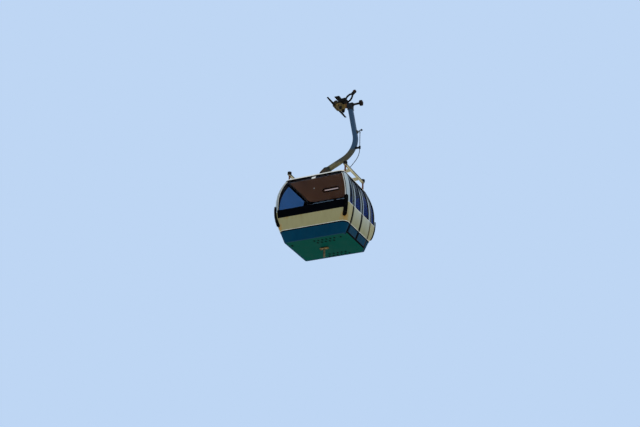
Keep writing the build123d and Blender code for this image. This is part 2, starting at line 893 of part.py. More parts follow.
def make_tongues():
    """Slim tapered saddles that lie on the rope before and behind the jaws."""
    tongues = []
    bore = disc(rope_radius + rope_clearance, 0, 0, -reach, reach)
    upper = Pos(0, 0, reach / 2 + tongue_cut) * Box(2 * reach, reach, reach)
    for sign in (-1, 1):
        cone = Cone(tongue_root_radius, tongue_tip_radius, tongue_length)
        cone = Pos(sign * (jaw_half + tongue_length / 2), 0, 0) * Rot(0, sign * 90, 0) * cone
        tongues.append((cone - bore) & upper)
    keep("rope_tongues", *tongues)


def make_door_control():
    """Lever with a small roller on the hanger, which pulls the control cable."""
    pivot_y, pivot_z = control_pivot
    face_y = arm_face(pivot_z)
    outer = control_spread / 2 + control_plate
    bracket = span((-outer, outer), (face_y - 5, face_y + 22), (pivot_z - 62, pivot_z + 48))
    cheek = [
        (face_y, pivot_z + 44),
        (pivot_y - 18, pivot_z + 16),
        (pivot_y - 18, pivot_z - 20),
        (face_y, pivot_z - 58),
    ]
    for sign in (-1, 1):
        bracket += plate(cheek, sign * control_spread / 2, sign * outer)
    pin = disc(control_pin_radius, *control_pivot, -outer - 4, outer + 4)
    keep("control_bracket", bracket + pin - pieces["hanger_arm"])
    half = control_plate / 2
    cable_end = (cable_points[0][0], cable_points[0][1] + gland_length + 16)
    arm = strip_face([control_pivot, control_elbow, control_roller], control_arm_width)
    tail = strip_face([(control_elbow[0] + 4, control_elbow[1]), cable_end], control_tail_width)
    lever = slab(arm, -half, half) + slab(tail, -half, half)
    lever += disc(control_hub_radius, *control_pivot, -half - 4, half + 4)
    lever += disc(control_eye_radius, *control_roller, -half, half)
    roller_start = half + control_gap
    roller_end = roller_start + control_roller_width
    lever += disc(control_stub_radius, *control_roller, -half, roller_end + 6)
    keep("control_lever", lever - disc(control_pin_radius, *control_pivot, -reach, reach))
    roller = disc(control_roller_radius, *control_roller, roller_start, roller_end)
    keep("control_roller", roller - disc(control_stub_radius, *control_roller, -reach, reach))


def make_cable():
    points = [(0, y, z) for y, z in cable_points]
    radii = []
    for before, here, after in zip(points, points[1:], points[2:]):
        first = Vector(*here) - Vector(*before)
        second = Vector(*after) - Vector(*here)
        turn = math.radians(first.get_angle(second))
        radii.append(cable_bend * min(first.length, second.length) / math.tan(turn / 2))
    path = FilletPolyline(*points, radius=radii)
    section = Plane(origin=path @ 0, z_dir=path % 0) * Circle(cable_radius)
    cable = sweep(section, path=path)
    keep("control_cable", cable)
    y, z = cable_points[0]
    upper = Pos(0, y, z + gland_length / 2) * Cylinder(gland_radius, gland_length)
    y, z = cable_points[-1]
    run = path % 1
    gland = extrude(Plane(origin=(0, y, z), z_dir=run) * Circle(gland_radius), gland_length)
    roof_z = roof_height - rope_height
    base_top = z - 20
    base = Pos(0, y, (roof_z + base_top) / 2) * Box(*cable_base, base_top - roof_z)
    base = fillet(base.edges().filter_by(Axis.Z), gland_radius)
    keep("cable_glands", upper, gland + base - cable)


def make_clip():
    """Bracket that holds the cable off the hanger."""
    y = cable_points[1][0]
    height = (clip_height - clip_thickness / 2, clip_height + clip_thickness / 2)
    clip = span((-clip_half, clip_half), (y, y + clip_reach), height)
    clip += Pos(0, y, clip_height) * Cylinder(clip_half, clip_sleeve)
    keep("cable_clip", clip - pieces["hanger_arm"] - pieces["control_cable"])


make_shell()
make_windows()
make_doors()
make_floor_and_lining()
make_benches()
make_bumpers()
make_roof_frame()
make_hanger()
make_grip()
make_shaft()
make_moving_jaw()
make_lever()
make_tongues()
make_door_control()
make_cable()
make_clip()

os.makedirs("parts", exist_ok=True)
for name, solid in pieces.items():
    export_step(solid, f"parts/{name}.step")
print(len(pieces), "pieces")
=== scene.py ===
import math

import bmesh
import bpy
from mathutils import Euler, Matrix, Quaternion, Vector
from mathutils.bvhtree import BVHTree


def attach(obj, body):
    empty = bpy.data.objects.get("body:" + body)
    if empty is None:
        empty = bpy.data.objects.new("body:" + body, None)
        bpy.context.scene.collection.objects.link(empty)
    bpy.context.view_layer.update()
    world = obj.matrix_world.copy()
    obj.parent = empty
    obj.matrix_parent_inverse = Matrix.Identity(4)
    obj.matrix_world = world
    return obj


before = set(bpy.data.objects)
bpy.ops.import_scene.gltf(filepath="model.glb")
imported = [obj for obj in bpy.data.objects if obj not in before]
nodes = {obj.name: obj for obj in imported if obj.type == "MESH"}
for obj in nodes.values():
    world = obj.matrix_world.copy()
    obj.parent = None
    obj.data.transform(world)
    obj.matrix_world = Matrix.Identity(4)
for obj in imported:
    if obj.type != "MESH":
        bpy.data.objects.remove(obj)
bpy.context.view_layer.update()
scene = bpy.context.scene
print("frame loaded:", len(nodes), "nodes")

middleY = 0.262  # the cabin's middle across, in the frame
cabinMiddle = Vector((0, middleY, -4.1))  # the middle of its floor

# node helpers


# sRGB 0-255 to the linear colour that nodes take
def shade(*tone):
    def linear(value):
        value /= 255
        return value / 12.92 if value <= 0.04045 else ((value + 0.055) / 1.055) ** 2.4

    return (*[linear(value) for value in tone], 1)


# inputs set by label, or by number as _0, from a value, a tone or an output
def fill(tree, node, **values):
    for label, value in values.items():
        socket = node.inputs[int(label[1:])] if label[0] == "_" else node.inputs[label.replace("_", " ")]
        if isinstance(value, bpy.types.NodeSocket):
            tree.links.new(value, socket)
        else:
            socket.default_value = shade(*value) if socket.type == "RGBA" else value


def add(tree, kind, settings=None, **values):
    node = tree.nodes.new("ShaderNode" + kind)
    for label, value in (settings or {}).items():
        setattr(node, label, value)
    fill(tree, node, **values)
    return node


def math2(tree, operation, first, second=0.0, clamp=False):
    return add(tree, "Math", {"operation": operation, "use_clamp": clamp}, _0=first, _1=second).outputs[0]


def dot(tree, first, second):
    return add(tree, "VectorMath", {"operation": "DOT_PRODUCT"}, _0=first, _1=second).outputs["Value"]


# clamped map of a value's range onto another
def spread(tree, value, low, high, to=(0.0, 1.0)):
    ends = {"From_Min": low, "From_Max": high, "To_Min": to[0], "To_Max": to[1]}
    return add(tree, "MapRange", {"clamp": True}, Value=value, **ends).outputs[0]


def mixColour(tree, factor, first, second):
    return add(tree, "Mix", {"data_type": "RGBA"}, _0=factor, _6=first, _7=second).outputs[2]


# the place on the object, with upright lengths scaled by stretch
def objectPoint(tree, stretch=1):
    place = add(tree, "TexCoord").outputs["Object"]
    return add(tree, "Mapping", Vector=place, Scale=(1, 1, stretch)).outputs[0]


def objectAxes(tree):
    return add(tree, "SeparateXYZ", Vector=objectPoint(tree)).outputs


def noise(tree, scale, detail=2, stretch=1, roughness=0.5):
    point = objectPoint(tree, stretch)
    return add(tree, "TexNoise", Vector=point, Scale=scale, Detail=detail, Roughness=roughness).outputs[0]


# camera, floor, sky and lamps

cameraLook = {
    "place": (-30.018, -14.097, -18.891),
    "aim": (0, 0.419, -3.099),
    "roll": 1.63,  # degrees
    "lens": 78.79,
    "sensor": 36,
    "farthest": 400,
}
stageLook = {
    "backdrop": (190, 214, 244),
    "ambient": (226, 230, 236),
    "ambientStrength": 0.9,
    "floor": (196, 200, 196),
    "floorRoughness": 0.9,
    "floorSize": 400,
    "floorBelowCamera": 0.03,
}
sunLooks = [
    {"name": "keySun", "turn": (27, 0, 14), "strength": 1.0, "softness": 8, "colour": (1, 0.97, 0.92)},
    {"name": "backSun", "turn": (58, 0, 150), "strength": 0.6, "softness": 30, "colour": (0.95, 0.97, 1)},
]


def newObject(name, data):
    item = bpy.data.objects.new(name, data)
    scene.collection.objects.link(item)
    return item


def keepMesh(bm, name):
    mesh = bpy.data.meshes.new(name)
    bm.to_mesh(mesh)
    bm.free()
    return mesh


def startMaterial(name):
    material = bpy.data.materials.new(name)
    material.use_nodes = True
    return material, material.node_tree, material.node_tree.nodes["Principled BSDF"]


def makeCamera(look):
    data = bpy.data.cameras.new("photoCamera")
    data.lens = look["lens"]
    data.sensor_width = look["sensor"]
    data.clip_end = look["farthest"]
    camera = newObject("photoCamera", data)
    place, aim = Vector(look["place"]), Vector(look["aim"])
    camera.location = place
    camera.rotation_mode = "QUATERNION"
    turn = Quaternion((0, 0, 1), math.radians(look["roll"]))
    camera.rotation_quaternion = (aim - place).to_track_quat("-Z", "Y") @ turn
    scene.camera = camera


# the backdrop's colour for the camera, glass and gloss, and ambient light for the rest
def makeSky(look):
    scene.world = bpy.data.worlds.new("paleSky")
    scene.world.use_nodes = True
    tree = scene.world.node_tree
    tree.nodes.clear()
    rays = add(tree, "LightPath").outputs
    direct = math2(tree, "MAXIMUM", rays["Is Camera Ray"], rays["Is Glossy Ray"])
    direct = math2(tree, "MAXIMUM", direct, rays["Is Transmission Ray"])
    ambient = add(tree, "Background", Color=look["ambient"], Strength=look["ambientStrength"])
    seen = add(tree, "Background", Color=look["backdrop"])
    mix = add(tree, "MixShader", _0=direct, _1=ambient.outputs[0], _2=seen.outputs[0])
    add(tree, "OutputWorld", Surface=mix.outputs[0])


def makeFloor(look):
    bm = bmesh.new()
    bmesh.ops.create_grid(bm, x_segments=1, y_segments=1, size=look["floorSize"] / 2)
    height = cameraLook["place"][2] - look["floorBelowCamera"]
    bmesh.ops.translate(bm, verts=bm.verts, vec=(0, 0, height))
    floor = newObject("floor", keepMesh(bm, "floor"))
    paint, tree, shader = startMaterial("floorPaint")
    fill(tree, shader, Base_Color=look["floor"], Roughness=look["floorRoughness"])
    floor.data.materials.append(paint)


def makeSun(look):
    data = bpy.data.lights.new(look["name"], "SUN")
    data.energy = look["strength"]
    data.angle = math.radians(look["softness"])
    data.color = look["colour"]
    newObject(look["name"], data).rotation_euler = Euler([math.radians(turn) for turn in look["turn"]])


makeCamera(cameraLook)
makeSky(stageLook)
makeFloor(stageLook)
for look in sunLooks:
    makeSun(look)
scene.view_settings.view_transform = "Standard"
print("camera, floor and lamps placed")

# shader effects shared by the materials


def newGroup(name, inputs, outputs=("Mask",)):
    group = bpy.data.node_groups.new(name, "ShaderNodeTree")
    for label, value in inputs.items():
        socket = group.interface.new_socket(name=label, in_out="INPUT", socket_type="NodeSocketFloat")
        socket.default_value = value
    for label in outputs:
        group.interface.new_socket(name=label, in_out="OUTPUT", socket_type="NodeSocketFloat")
    return group, group.nodes.new("NodeGroupInput").outputs, group.nodes.new("NodeGroupOutput")


# dust in patches and rain streaks that run down
def makeWeather():
    group, inside, out = newGroup(
        "weather", {"Patch Scale": 2.0, "Streak Scale": 9.0, "Cover": 0.5}, ("Dust", "Streaks", "Tone"),
    )
    firstDust, softness, drawnOut = 0.82, 0.34, 0.09
    patches = noise(group, inside["Patch Scale"], 6, roughness=0.62)
    streaks = noise(group, inside["Streak Scale"], 4, drawnOut)
    start = math2(group, "SUBTRACT", firstDust, inside["Cover"])
    far = math2(group, "ADD", start, softness)
    dust, lines = spread(group, patches, start, far), spread(group, streaks, start, far)
    fill(group, out, Dust=dust, Streaks=lines, Tone=patches)
    return group


# mask of the rubbed edges, broken up by noise
def makeEdgeWear():
    group, inside, out = newGroup("edgeWear", {"Width": 0.004, "Amount": 0.5, "Break Scale": 30.0})
    flatToSharp, gapToRub = (0.985, 0.86), (0.42, 0.62)
    rounded = add(group, "Bevel", {"samples": 4}, Radius=inside["Width"]).outputs[0]
    edge = spread(group, dot(group, rounded, add(group, "NewGeometry").outputs["Normal"]), *flatToSharp)
    broken = spread(group, noise(group, inside["Break Scale"], 5), *gapToRub)
    both = math2(group, "MULTIPLY", edge, broken)
    fill(group, out, Mask=math2(group, "MULTIPLY", both, inside["Amount"], clamp=True))
    return group


# fine surface relief, from orange peel in paint to cast skin
def makeGrain():
    group, inside, out = newGroup("grain", {"Scale": 200.0, "Coarse": 0.0}, ("Height",))
    lumpScale = 0.12  # of the fine grain's
    fine = noise(group, inside["Scale"], 3)
    lumps = noise(group, math2(group, "MULTIPLY", inside["Scale"], lumpScale))
    fill(group, out, Height=math2(group, "ADD", fine, math2(group, "MULTIPLY", lumps, inside["Coarse"])))
    return group


# 1 above a height, 0 below it, with an edge that may wander
def makeLevel():
    group, inside, out = newGroup("level", {"Height": 0.0, "Softness": 0.001, "Wander": 0.0}, ("Above",))
    noiseScale, drawnOut = 14, 0.3
    sway = math2(group, "SUBTRACT", noise(group, noiseScale, stretch=drawnOut), 0.5)
    height = math2(group, "ADD", objectAxes(group)["Z"], math2(group, "MULTIPLY", sway, inside["Wander"]))
    above = math2(group, "DIVIDE", math2(group, "SUBTRACT", height, inside["Height"]), inside["Softness"])
    fill(group, out, Above=math2(group, "ADD", above, 0.5, clamp=True))
    return group


# rust and grease that run down from a seam and fade
def makeRuns():
    group, inside, out = newGroup("runs", {"Height": 0.0, "Reach": 0.3, "Scale": 26.0, "Cover": 0.5})
    below = math2(group, "SUBTRACT", inside["Height"], objectAxes(group)["Z"])
    fade = math2(group, "SUBTRACT", 1.0, math2(group, "DIVIDE", below, inside["Reach"]), clamp=True)
    under = math2(group, "GREATER_THAN", below, 0.0)
    firstRun, coverShare, softness, drawnOut = 0.8, 0.4, 0.16, 0.05
    start = math2(group, "SUBTRACT", firstRun, math2(group, "MULTIPLY", inside["Cover"], coverShare))
    far = math2(group, "ADD", start, softness)
    lines = spread(group, noise(group, inside["Scale"], 3, drawnOut), start, far)
    both = math2(group, "MULTIPLY", fade, under)
    fill(group, out, Mask=math2(group, "MULTIPLY", both, lines, clamp=True))
    return group


# 1 on faces that look into the cabin or straight down, 0 on its outside: where the inside tone paints shade,
# and on the header strips a painted daylight
def makeInward():
    group, inside, out = newGroup("inward", {"Centre Y": middleY})
    place = add(group, "TexCoord").outputs
    axes = add(group, "SeparateXYZ", Vector=place["Object"]).outputs
    across = math2(group, "SUBTRACT", axes["Y"], inside["Centre Y"])
    radial = add(group, "CombineXYZ", X=axes["X"], Y=across).outputs[0]
    slope = add(group, "SeparateXYZ", Vector=place["Normal"]).outputs["Z"]
    outToIn, slantToUnder = (0.02, -0.06), (-0.75, -0.85)
    within = spread(group, dot(group, radial, place["Normal"]), *outToIn)
    fill(group, out, Mask=math2(group, "MAXIMUM", within, spread(group, slope, *slantToUnder)))
    return group


# a stain about one spot, the same at all four corners of the cabin
def makeBlot():
    group, inside, out = newGroup(
        "blot", {"X": 0.9, "Y": 0.98, "Z": -3.74, "Radius": 0.1, "Centre Y": middleY}
    )
    axes = objectAxes(group)
    sideways = math2(group, "SUBTRACT", axes["Y"], inside["Centre Y"])
    spot = {"X": math2(group, "ABSOLUTE", axes["X"]), "Y": math2(group, "ABSOLUTE", sideways), "Z": axes["Z"]}
    total = 0.0
    for label, measure in spot.items():
        gap = math2(group, "SUBTRACT", measure, inside[label])
        total = math2(group, "ADD", math2(group, "MULTIPLY", gap, gap), total)
    far = math2(group, "DIVIDE", math2(group, "SQRT", total), inside["Radius"])
    noiseScale, drawnOut, raggedness, clearToStained = 24, 0.35, 0.9, (1.25, 0.7)
    ragged = math2(group, "MULTIPLY", noise(group, noiseScale, 4, drawnOut), raggedness)
    fill(group, out, Mask=spread(group, math2(group, "ADD", far, ragged), *clearToStained))
    return group


weather, edgeWear, grain, level = makeWeather(), makeEdgeWear(), makeGrain(), makeLevel()
runs, inward, blot = makeRuns(), makeInward(), makeBlot()


# the outputs of a shared effect placed in a material with its own values
def use(tree, group, **values):
    return add(tree, "Group", {"node_tree": group}, **values).outputs


def layer(tree, colour, mask, strength, tone):
    return mixColour(tree, math2(tree, "MULTIPLY", mask, strength), colour, tone)


# what a finish has where it doesn't say otherwise
plainFinish = {
    "rough": (0.32, 0.46), "dusting": 0.2, "streaking": 0.2, "cover": 0.4, "patch": 2.2, "streak": 9,
    "rubbed": 0.3, "edge": 0.004, "breaks": 30, "grain": 260, "coarse": 0.3, "relief": 0.12, "depth": 0.001,
    "metallic": 0, "coat": 0, "coatRough": 0.12, "specular": 0.02, "dustRough": 0.15,
    "toneRange": (0.35, 0.65), "roughRange": (0.3, 0.7),
}


# paint, moulding or metal; its tones are clean, faded, dust and worn
def coated(name, look):
    material, tree, shader = startMaterial(name)
    look = {**plainFinish, **look}
    clean, faded, dust, worn = look["tones"]
    dirt = use(tree, weather, Patch_Scale=look["patch"], Streak_Scale=look["streak"], Cover=look["cover"])
    tone = spread(tree, dirt["Tone"], *look["toneRange"])
    colour = mixColour(tree, tone, clean, faded)
    for zone in look.get("zones", []):
        edge = {"Softness": zone.get("softness", 0.001), "Wander": zone.get("wander", 0)}
        above = use(tree, level, Height=zone["height"], **edge)["Above"]
        clean, faded = zone["tones"]
        colour = mixColour(tree, above, mixColour(tree, tone, clean, faded), colour)
    colour = layer(tree, colour, dirt["Dust"], look["dusting"], dust)
    colour = layer(tree, colour, dirt["Streaks"], look["streaking"], dust)
    for run in look.get("runs", []):
        lines = {"Scale": run.get("scale", 26), "Cover": run["cover"]}
        mask = use(tree, runs, Height=run["height"], Reach=run["reach"], **lines)["Mask"]
        colour = layer(tree, colour, mask, run["strength"], run["tone"])
    for spot in look.get("blots", []):
        x, y, z = spot["place"]
        mask = use(tree, blot, X=x, Y=y, Z=z, Radius=spot["radius"])["Mask"]
        colour = layer(tree, colour, mask, spot["strength"], spot["tone"])
    # faces toward the cabin and faces that look down take the inside tone: painted shade, and on the header
    # strips painted daylight
    if "paintedInsideLight" in look:
        colour = mixColour(tree, use(tree, inward)["Mask"], colour, look["paintedInsideLight"])
    wear = use(tree, edgeWear, Width=look["edge"], Amount=look["rubbed"], Break_Scale=look["breaks"])
    colour = mixColour(tree, wear["Mask"], colour, worn)
    rough = spread(tree, dirt["Tone"], *look["roughRange"], look["rough"])
    dulled = math2(tree, "MULTIPLY", dirt["Dust"], look["dustRough"])
    relief = use(tree, grain, Scale=look["grain"], Coarse=look["coarse"])[0]
    bump = add(tree, "Bump", Height=relief, Strength=look["relief"], Distance=look["depth"])
    fill(
        tree, shader, Base_Color=colour, Roughness=math2(tree, "ADD", rough, dulled, clamp=True),
        Normal=bump.outputs[0], Metallic=look["metallic"], Coat_Weight=look["coat"],
        Coat_Roughness=look["coatRough"], Specular_IOR_Level=look["specular"],
    )
    return material


# window pane: a clear tint with wiped smears, which lets daylight into the cabin
def tintedGlass(name, look):
    material, tree, shader = startMaterial(name)
    look = {**plainGlass, **look}
    smears = noise(tree, look["smearScale"], 5, look["drawnOut"])
    tint = mixColour(tree, spread(tree, smears, *look["tintRange"]), look["tint"], look["smear"])
    fill(
        tree, shader, Base_Color=tint, Roughness=spread(tree, smears, *look["roughRange"], look["rough"]),
        Transmission_Weight=1, IOR=look["ior"], Specular_IOR_Level=look["specular"],
    )
    rays = add(tree, "LightPath").outputs
    daylight = add(tree, "BsdfTransparent", Color=look["daylight"]).outputs[0]
    soft = math2(tree, "MAXIMUM", rays["Is Shadow Ray"], rays["Is Diffuse Ray"])
    mix = add(tree, "MixShader", _0=soft, _1=shader.outputs[0], _2=daylight)
    fill(tree, tree.nodes["Material Output"], Surface=mix.outputs[0])
    return material


# finishes, each named for what it covers

beige, petrol, paleBlue = (152, 147, 107), (0, 52, 78), (150, 168, 180)
seamHeight, sillHeight = -3.820, -3.335  # where the doors change colour

finishes = {
    "skirtPaint": {
        "tones": (petrol, (0, 60, 88), (34, 62, 72), (70, 104, 116)), "rough": (0.34, 0.5), "dusting": 0.1,
        "streaking": 0.12, "relief": 0.05, "specular": 0.03,
        "runs": [{"height": -3.836, "reach": 0.16, "cover": 0.5, "strength": 0.5, "tone": (58, 52, 40)}],
    },
    "waistPaint": {
        "tones": (beige, (162, 157, 118), (112, 102, 72), (190, 184, 156)), "relief": 0.05, "coat": 0.04,
        "specular": 0.15,
        "runs": [
            {"height": -3.509, "reach": 0.09, "cover": 0.7, "strength": 0.75, "tone": (150, 122, 58)},
            {
                "height": sillHeight, "reach": 0.3, "cover": 0.3, "scale": 18, "strength": 0.5,
                "tone": (120, 98, 62),
            },
        ],
        "blots": [{"place": (0.89, 0.985, -3.78), "radius": 0.24, "strength": 1.0, "tone": (176, 122, 12)}],
    },
    "doorPaint": {
        "tones": ((28, 34, 50), (40, 46, 60), (92, 98, 92), (222, 226, 226)), "dusting": 0.1,
        # the inside tone is painted shade on the doors' inner and downward faces
        "streaking": 0.16, "relief": 0.05, "paintedInsideLight": (36, 34, 36),
        "zones": [
            {"height": -2.66, "softness": 0.22, "wander": 0.02, "tones": (paleBlue, (160, 177, 188))},
            {"height": sillHeight, "tones": ((162, 168, 154), (168, 174, 162))},
            {"height": -3.56, "softness": 0.34, "wander": 0.1, "tones": ((146, 145, 112), (156, 156, 128))},
            {"height": seamHeight, "tones": (petrol, (0, 60, 88))},
        ],
        "runs": [{"height": -3.345, "reach": 0.2, "cover": 0.35, "strength": 0.5, "tone": (122, 104, 66)}],
    },
    "postPaint": {
        "tones": (paleBlue, (162, 178, 188), (98, 104, 100), (224, 228, 228)), "dusting": 0.16,
        "streaking": 0.22, "rubbed": 0.35, "grain": 240, "relief": 0.06, "coat": 0.04, "specular": 0.05,
        # the inside tone is painted shade on the posts' inner and downward faces
        "paintedInsideLight": (30, 28, 32),
    },
    "roofMoulding": {
        "tones": ((242, 244, 242), (234, 235, 230), (142, 136, 116), (244, 244, 240)), "rough": (0.32, 0.5),
        # the inside tone is painted shade on the roof's inner and downward faces
        "cover": 0.5, "rubbed": 0.4, "grain": 130, "coat": 0.1, "specular": 0.2, "paintedInsideLight": (30, 26, 26),
    },
    "beltMoulding": {
        "tones": ((1, 2, 6), (3, 4, 9), (24, 26, 30), (40, 40, 42)), "rough": (0.28, 0.44), "dusting": 0.08,
        "streaking": 0.08, "grain": 180, "relief": 0.1, "specular": 0.01,
    },
    # the floor pan's teal paint, drawn greener than the skirts as painted bounce light from the ground below
    "floorPaint": {
        "tones": ((0, 76, 66), (0, 86, 76), (12, 60, 48), (70, 104, 92)), "rough": (0.46, 0.64),
        "dusting": 0.34, "streaking": 0.14, "cover": 0.5, "rubbed": 0.45, "grain": 160,
    },
    "ceilingLining": {
        "tones": ((132, 92, 70), (144, 101, 78), (120, 88, 66), (150, 124, 104)), "rough": (0.55, 0.75),
        "dusting": 0.1, "streaking": 0.05, "rubbed": 0.5, "grain": 420, "relief": 0.2, "specular": 0.05,
    },
    "headerLining": {
        "tones": ((46, 30, 28), (54, 36, 32), (60, 46, 38), (70, 58, 50)), "rough": (0.5, 0.7),
        "dusting": 0.1, "streaking": 0.05, "rubbed": 0.5, "grain": 300, "relief": 0.1,
        # pale sky blue on the strip's faces toward the cabin: painted daylight, standing in for the sky seen
        # at the far end's header
        "paintedInsideLight": (178, 218, 255),
    },
    "benchMoulding": {
        "tones": ((52, 54, 60), (60, 62, 68), (88, 86, 80), (90, 92, 96)), "rough": (0.46, 0.64),
        "dusting": 0.15, "streaking": 0.05, "rubbed": 0.5, "grain": 380, "relief": 0.25, "specular": 0.2,
    },
    # the roof frame is dark above the zone's height and cream below it: painted shade on the rails' upper
    # part, painted bounce light from the sunlit roof on their lower part
    "framePaint": {
        "tones": ((66, 66, 60), (84, 82, 72), (50, 46, 36), (120, 114, 98)), "rough": (0.4, 0.58),
        "dusting": 0.3, "streaking": 0.25, "rubbed": 0.6, "grain": 200, "relief": 0.1, "specular": 0.12,
        "zones": [
            {
                "height": -2.102, "softness": 0.012, "wander": 0.02,
                "tones": ((206, 198, 162), (192, 182, 144)),
            },
        ],
    },
    # the arm's lower zones, olive and then cream toward the foot, are painted bounce light from the sunlit
    # roof on its blue-grey paint
    "hangerPaint": {
        "tones": ((44, 72, 100), (54, 82, 112), (58, 64, 62), (104, 120, 134)), "rough": (0.38, 0.54),
        "dusting": 0.22, "streaking": 0.3, "rubbed": 0.5, "grain": 120, "metallic": 0.1, "specular": 0.1,
        "zones": [
            {"height": -1.38, "softness": 0.1, "wander": 0.25, "tones": ((84, 80, 62), (58, 66, 70))},
            {"height": -1.72, "softness": 0.1, "wander": 0.2, "tones": ((140, 130, 92), (110, 104, 74))},
        ],
    },
    "headCasting": {
        "tones": ((28, 34, 42), (44, 50, 56), (12, 12, 12), (118, 120, 122)), "rough": (0.45, 0.65),
        "dusting": 0.5, "streaking": 0.35, "patch": 7, "rubbed": 0.6, "grain": 140, "coarse": 1.2,
        "relief": 0.35, "metallic": 0.05, "specular": 0.05,
    },
    "footCasting": {
        "tones": ((30, 44, 44), (40, 54, 50), (120, 76, 42), (96, 98, 90)), "rough": (0.45, 0.65),
        "dusting": 0.7, "streaking": 0.12, "cover": 0.34, "patch": 5.5, "rubbed": 0.5, "grain": 140,
        "coarse": 1.1, "relief": 0.3, "specular": 0.08,
    },
    "gripCasting": {
        "tones": ((60, 58, 52), (82, 78, 64), (14, 10, 8), (160, 150, 124)), "rough": (0.4, 0.62),
        "dusting": 0.85, "streaking": 0.5, "cover": 0.5, "patch": 9, "streak": 22, "rubbed": 0.6,
        "grain": 240, "coarse": 1.4, "relief": 0.4, "metallic": 0.05, "specular": 0.06,
        "zones": [
            {"height": 0.075, "softness": 0.03, "wander": 0.08, "tones": ((138, 112, 60), (158, 140, 100))},
        ],
    },
    "forgedLever": {
        "tones": ((10, 10, 12), (18, 17, 17), (40, 32, 22), (70, 68, 66)), "rough": (0.4, 0.62),
        "dusting": 0.4, "patch": 8, "rubbed": 0.6, "grain": 220, "coarse": 1, "relief": 0.25, "metallic": 0.1,
        "specular": 0.08,
    },
    "greasedSteel": {
        "tones": ((24, 23, 24), (36, 33, 32), (22, 17, 12), (140, 138, 134)), "rough": (0.28, 0.5),
        "dusting": 0.5, "patch": 12, "rubbed": 0.6, "grain": 300, "metallic": 0.3, "specular": 0.12,
    },
    "blackPlate": {
        "tones": ((6, 6, 8), (12, 12, 14), (30, 25, 18), (84, 84, 84)), "rough": (0.4, 0.6), "dusting": 0.3,
        "streaking": 0.1, "patch": 10, "rubbed": 0.5, "metallic": 0.05, "specular": 0.08,
    },
    "platedSteel": {
        "tones": ((150, 150, 148), (164, 162, 156), (84, 76, 62), (200, 200, 198)), "rough": (0.3, 0.5),
        "dusting": 0.35, "streaking": 0.1, "patch": 14, "rubbed": 0.6, "grain": 320, "relief": 0.1,
        "metallic": 0.8, "specular": 0.4,
    },
    "rustySteel": {
        "tones": ((92, 50, 34), (112, 62, 40), (42, 30, 24), (138, 104, 84)), "rough": (0.5, 0.72),
        "dusting": 0.5, "streaking": 0.3, "patch": 16, "rubbed": 0.5, "coarse": 1.2, "relief": 0.35,
        "metallic": 0.1, "specular": 0.1,
    },
    "controlPaint": {
        "tones": ((58, 64, 66), (70, 76, 76), (44, 40, 32), (140, 140, 136)), "rough": (0.4, 0.58),
        "dusting": 0.35, "patch": 10, "rubbed": 0.7, "relief": 0.15, "metallic": 0.2, "specular": 0.25,
    },
    # dark at the top as painted shadow in the gap under the floor; the ochre flange and the stem below it are
    # drawn in painted sunlight
    "guidePaint": {
        "tones": ((30, 26, 22), (44, 38, 30), (52, 44, 32), (168, 158, 136)), "rough": (0.42, 0.62),
        "dusting": 0.35, "streaking": 0.35, "patch": 8, "rubbed": 0.8, "grain": 200, "relief": 0.2,
        "specular": 0.25,
        "zones": [
            {"height": -4.124, "softness": 0.002, "wander": 0.004, "tones": ((150, 116, 56), (176, 148, 92))},
            {"height": -4.143, "softness": 0.004, "wander": 0.01, "tones": ((150, 138, 104), (62, 50, 36))},
        ],
    },
    "sealRubber": {
        "tones": ((3, 3, 4), (7, 7, 8), (34, 33, 30), (36, 35, 34)), "rough": (0.55, 0.75), "streaking": 0.12,
        "grain": 420, "relief": 0.2, "specular": 0.01,
    },
    "stainedSeal": {
        "tones": ((70, 52, 30), (96, 72, 38), (20, 17, 14), (60, 54, 46)), "rough": (0.55, 0.75),
        "dusting": 0.7, "streaking": 0.4, "cover": 0.46, "patch": 5, "grain": 420, "relief": 0.2,
    },
    "bumperRubber": {
        "tones": ((3, 3, 4), (6, 6, 7), (34, 33, 30), (40, 40, 40)), "rough": (0.5, 0.7), "streaking": 0.14,
        "patch": 6, "rubbed": 0.5, "grain": 300, "relief": 0.25, "specular": 0.01,
    },
    "rollerTyre": {
        "tones": ((10, 10, 10), (18, 17, 16), (52, 44, 34), (66, 62, 58)), "rough": (0.45, 0.68),
        "dusting": 0.35, "streaking": 0.1, "patch": 14, "rubbed": 0.6, "relief": 0.25, "specular": 0.06,
    },
    "gripTyre": {
        "tones": ((20, 15, 13), (32, 23, 17), (16, 12, 9), (96, 80, 62)), "rough": (0.4, 0.62),
        "dusting": 0.4, "streaking": 0.1, "patch": 16, "rubbed": 0.6, "relief": 0.2, "specular": 0.08,
    },
    "cableSheath": {
        "tones": ((16, 18, 22), (24, 27, 31), (62, 60, 54), (48, 50, 52)), "rough": (0.4, 0.6),
        "streaking": 0.1, "patch": 20, "rubbed": 0.2, "grain": 500, "relief": 0.15, "specular": 0.18,
    },
    # white for trim, and for the painted highlights of the seam strip and the corner beads
    "trimAndHighlightWhite": {
        "tones": ((236, 238, 234), (222, 223, 214), (120, 116, 98), (240, 240, 236)), "rough": (0.34, 0.5),
        "streaking": 0.3, "patch": 9, "grain": 240, "relief": 0.08, "specular": 0.3,
    },
    "plateWhite": {
        "tones": ((236, 238, 236), (224, 226, 222), (150, 146, 130), (246, 246, 244)), "rough": (0.3, 0.45),
        "patch": 14, "grain": 300, "relief": 0.06, "specular": 0.35,
    },
    "ventSlat": {
        "tones": ((206, 180, 184), (216, 196, 196), (132, 116, 112), (236, 226, 224)), "rough": (0.35, 0.5),
        "streaking": 0.1, "patch": 14, "grain": 300, "relief": 0.06, "specular": 0.3,
    },
    "warmLining": {
        "tones": ((40, 36, 38), (52, 46, 46), (70, 62, 56), (80, 74, 70)), "rough": (0.5, 0.7),
        "dusting": 0.15, "streaking": 0.05, "patch": 10, "rubbed": 0.4, "grain": 300, "specular": 0.2,
    },
}

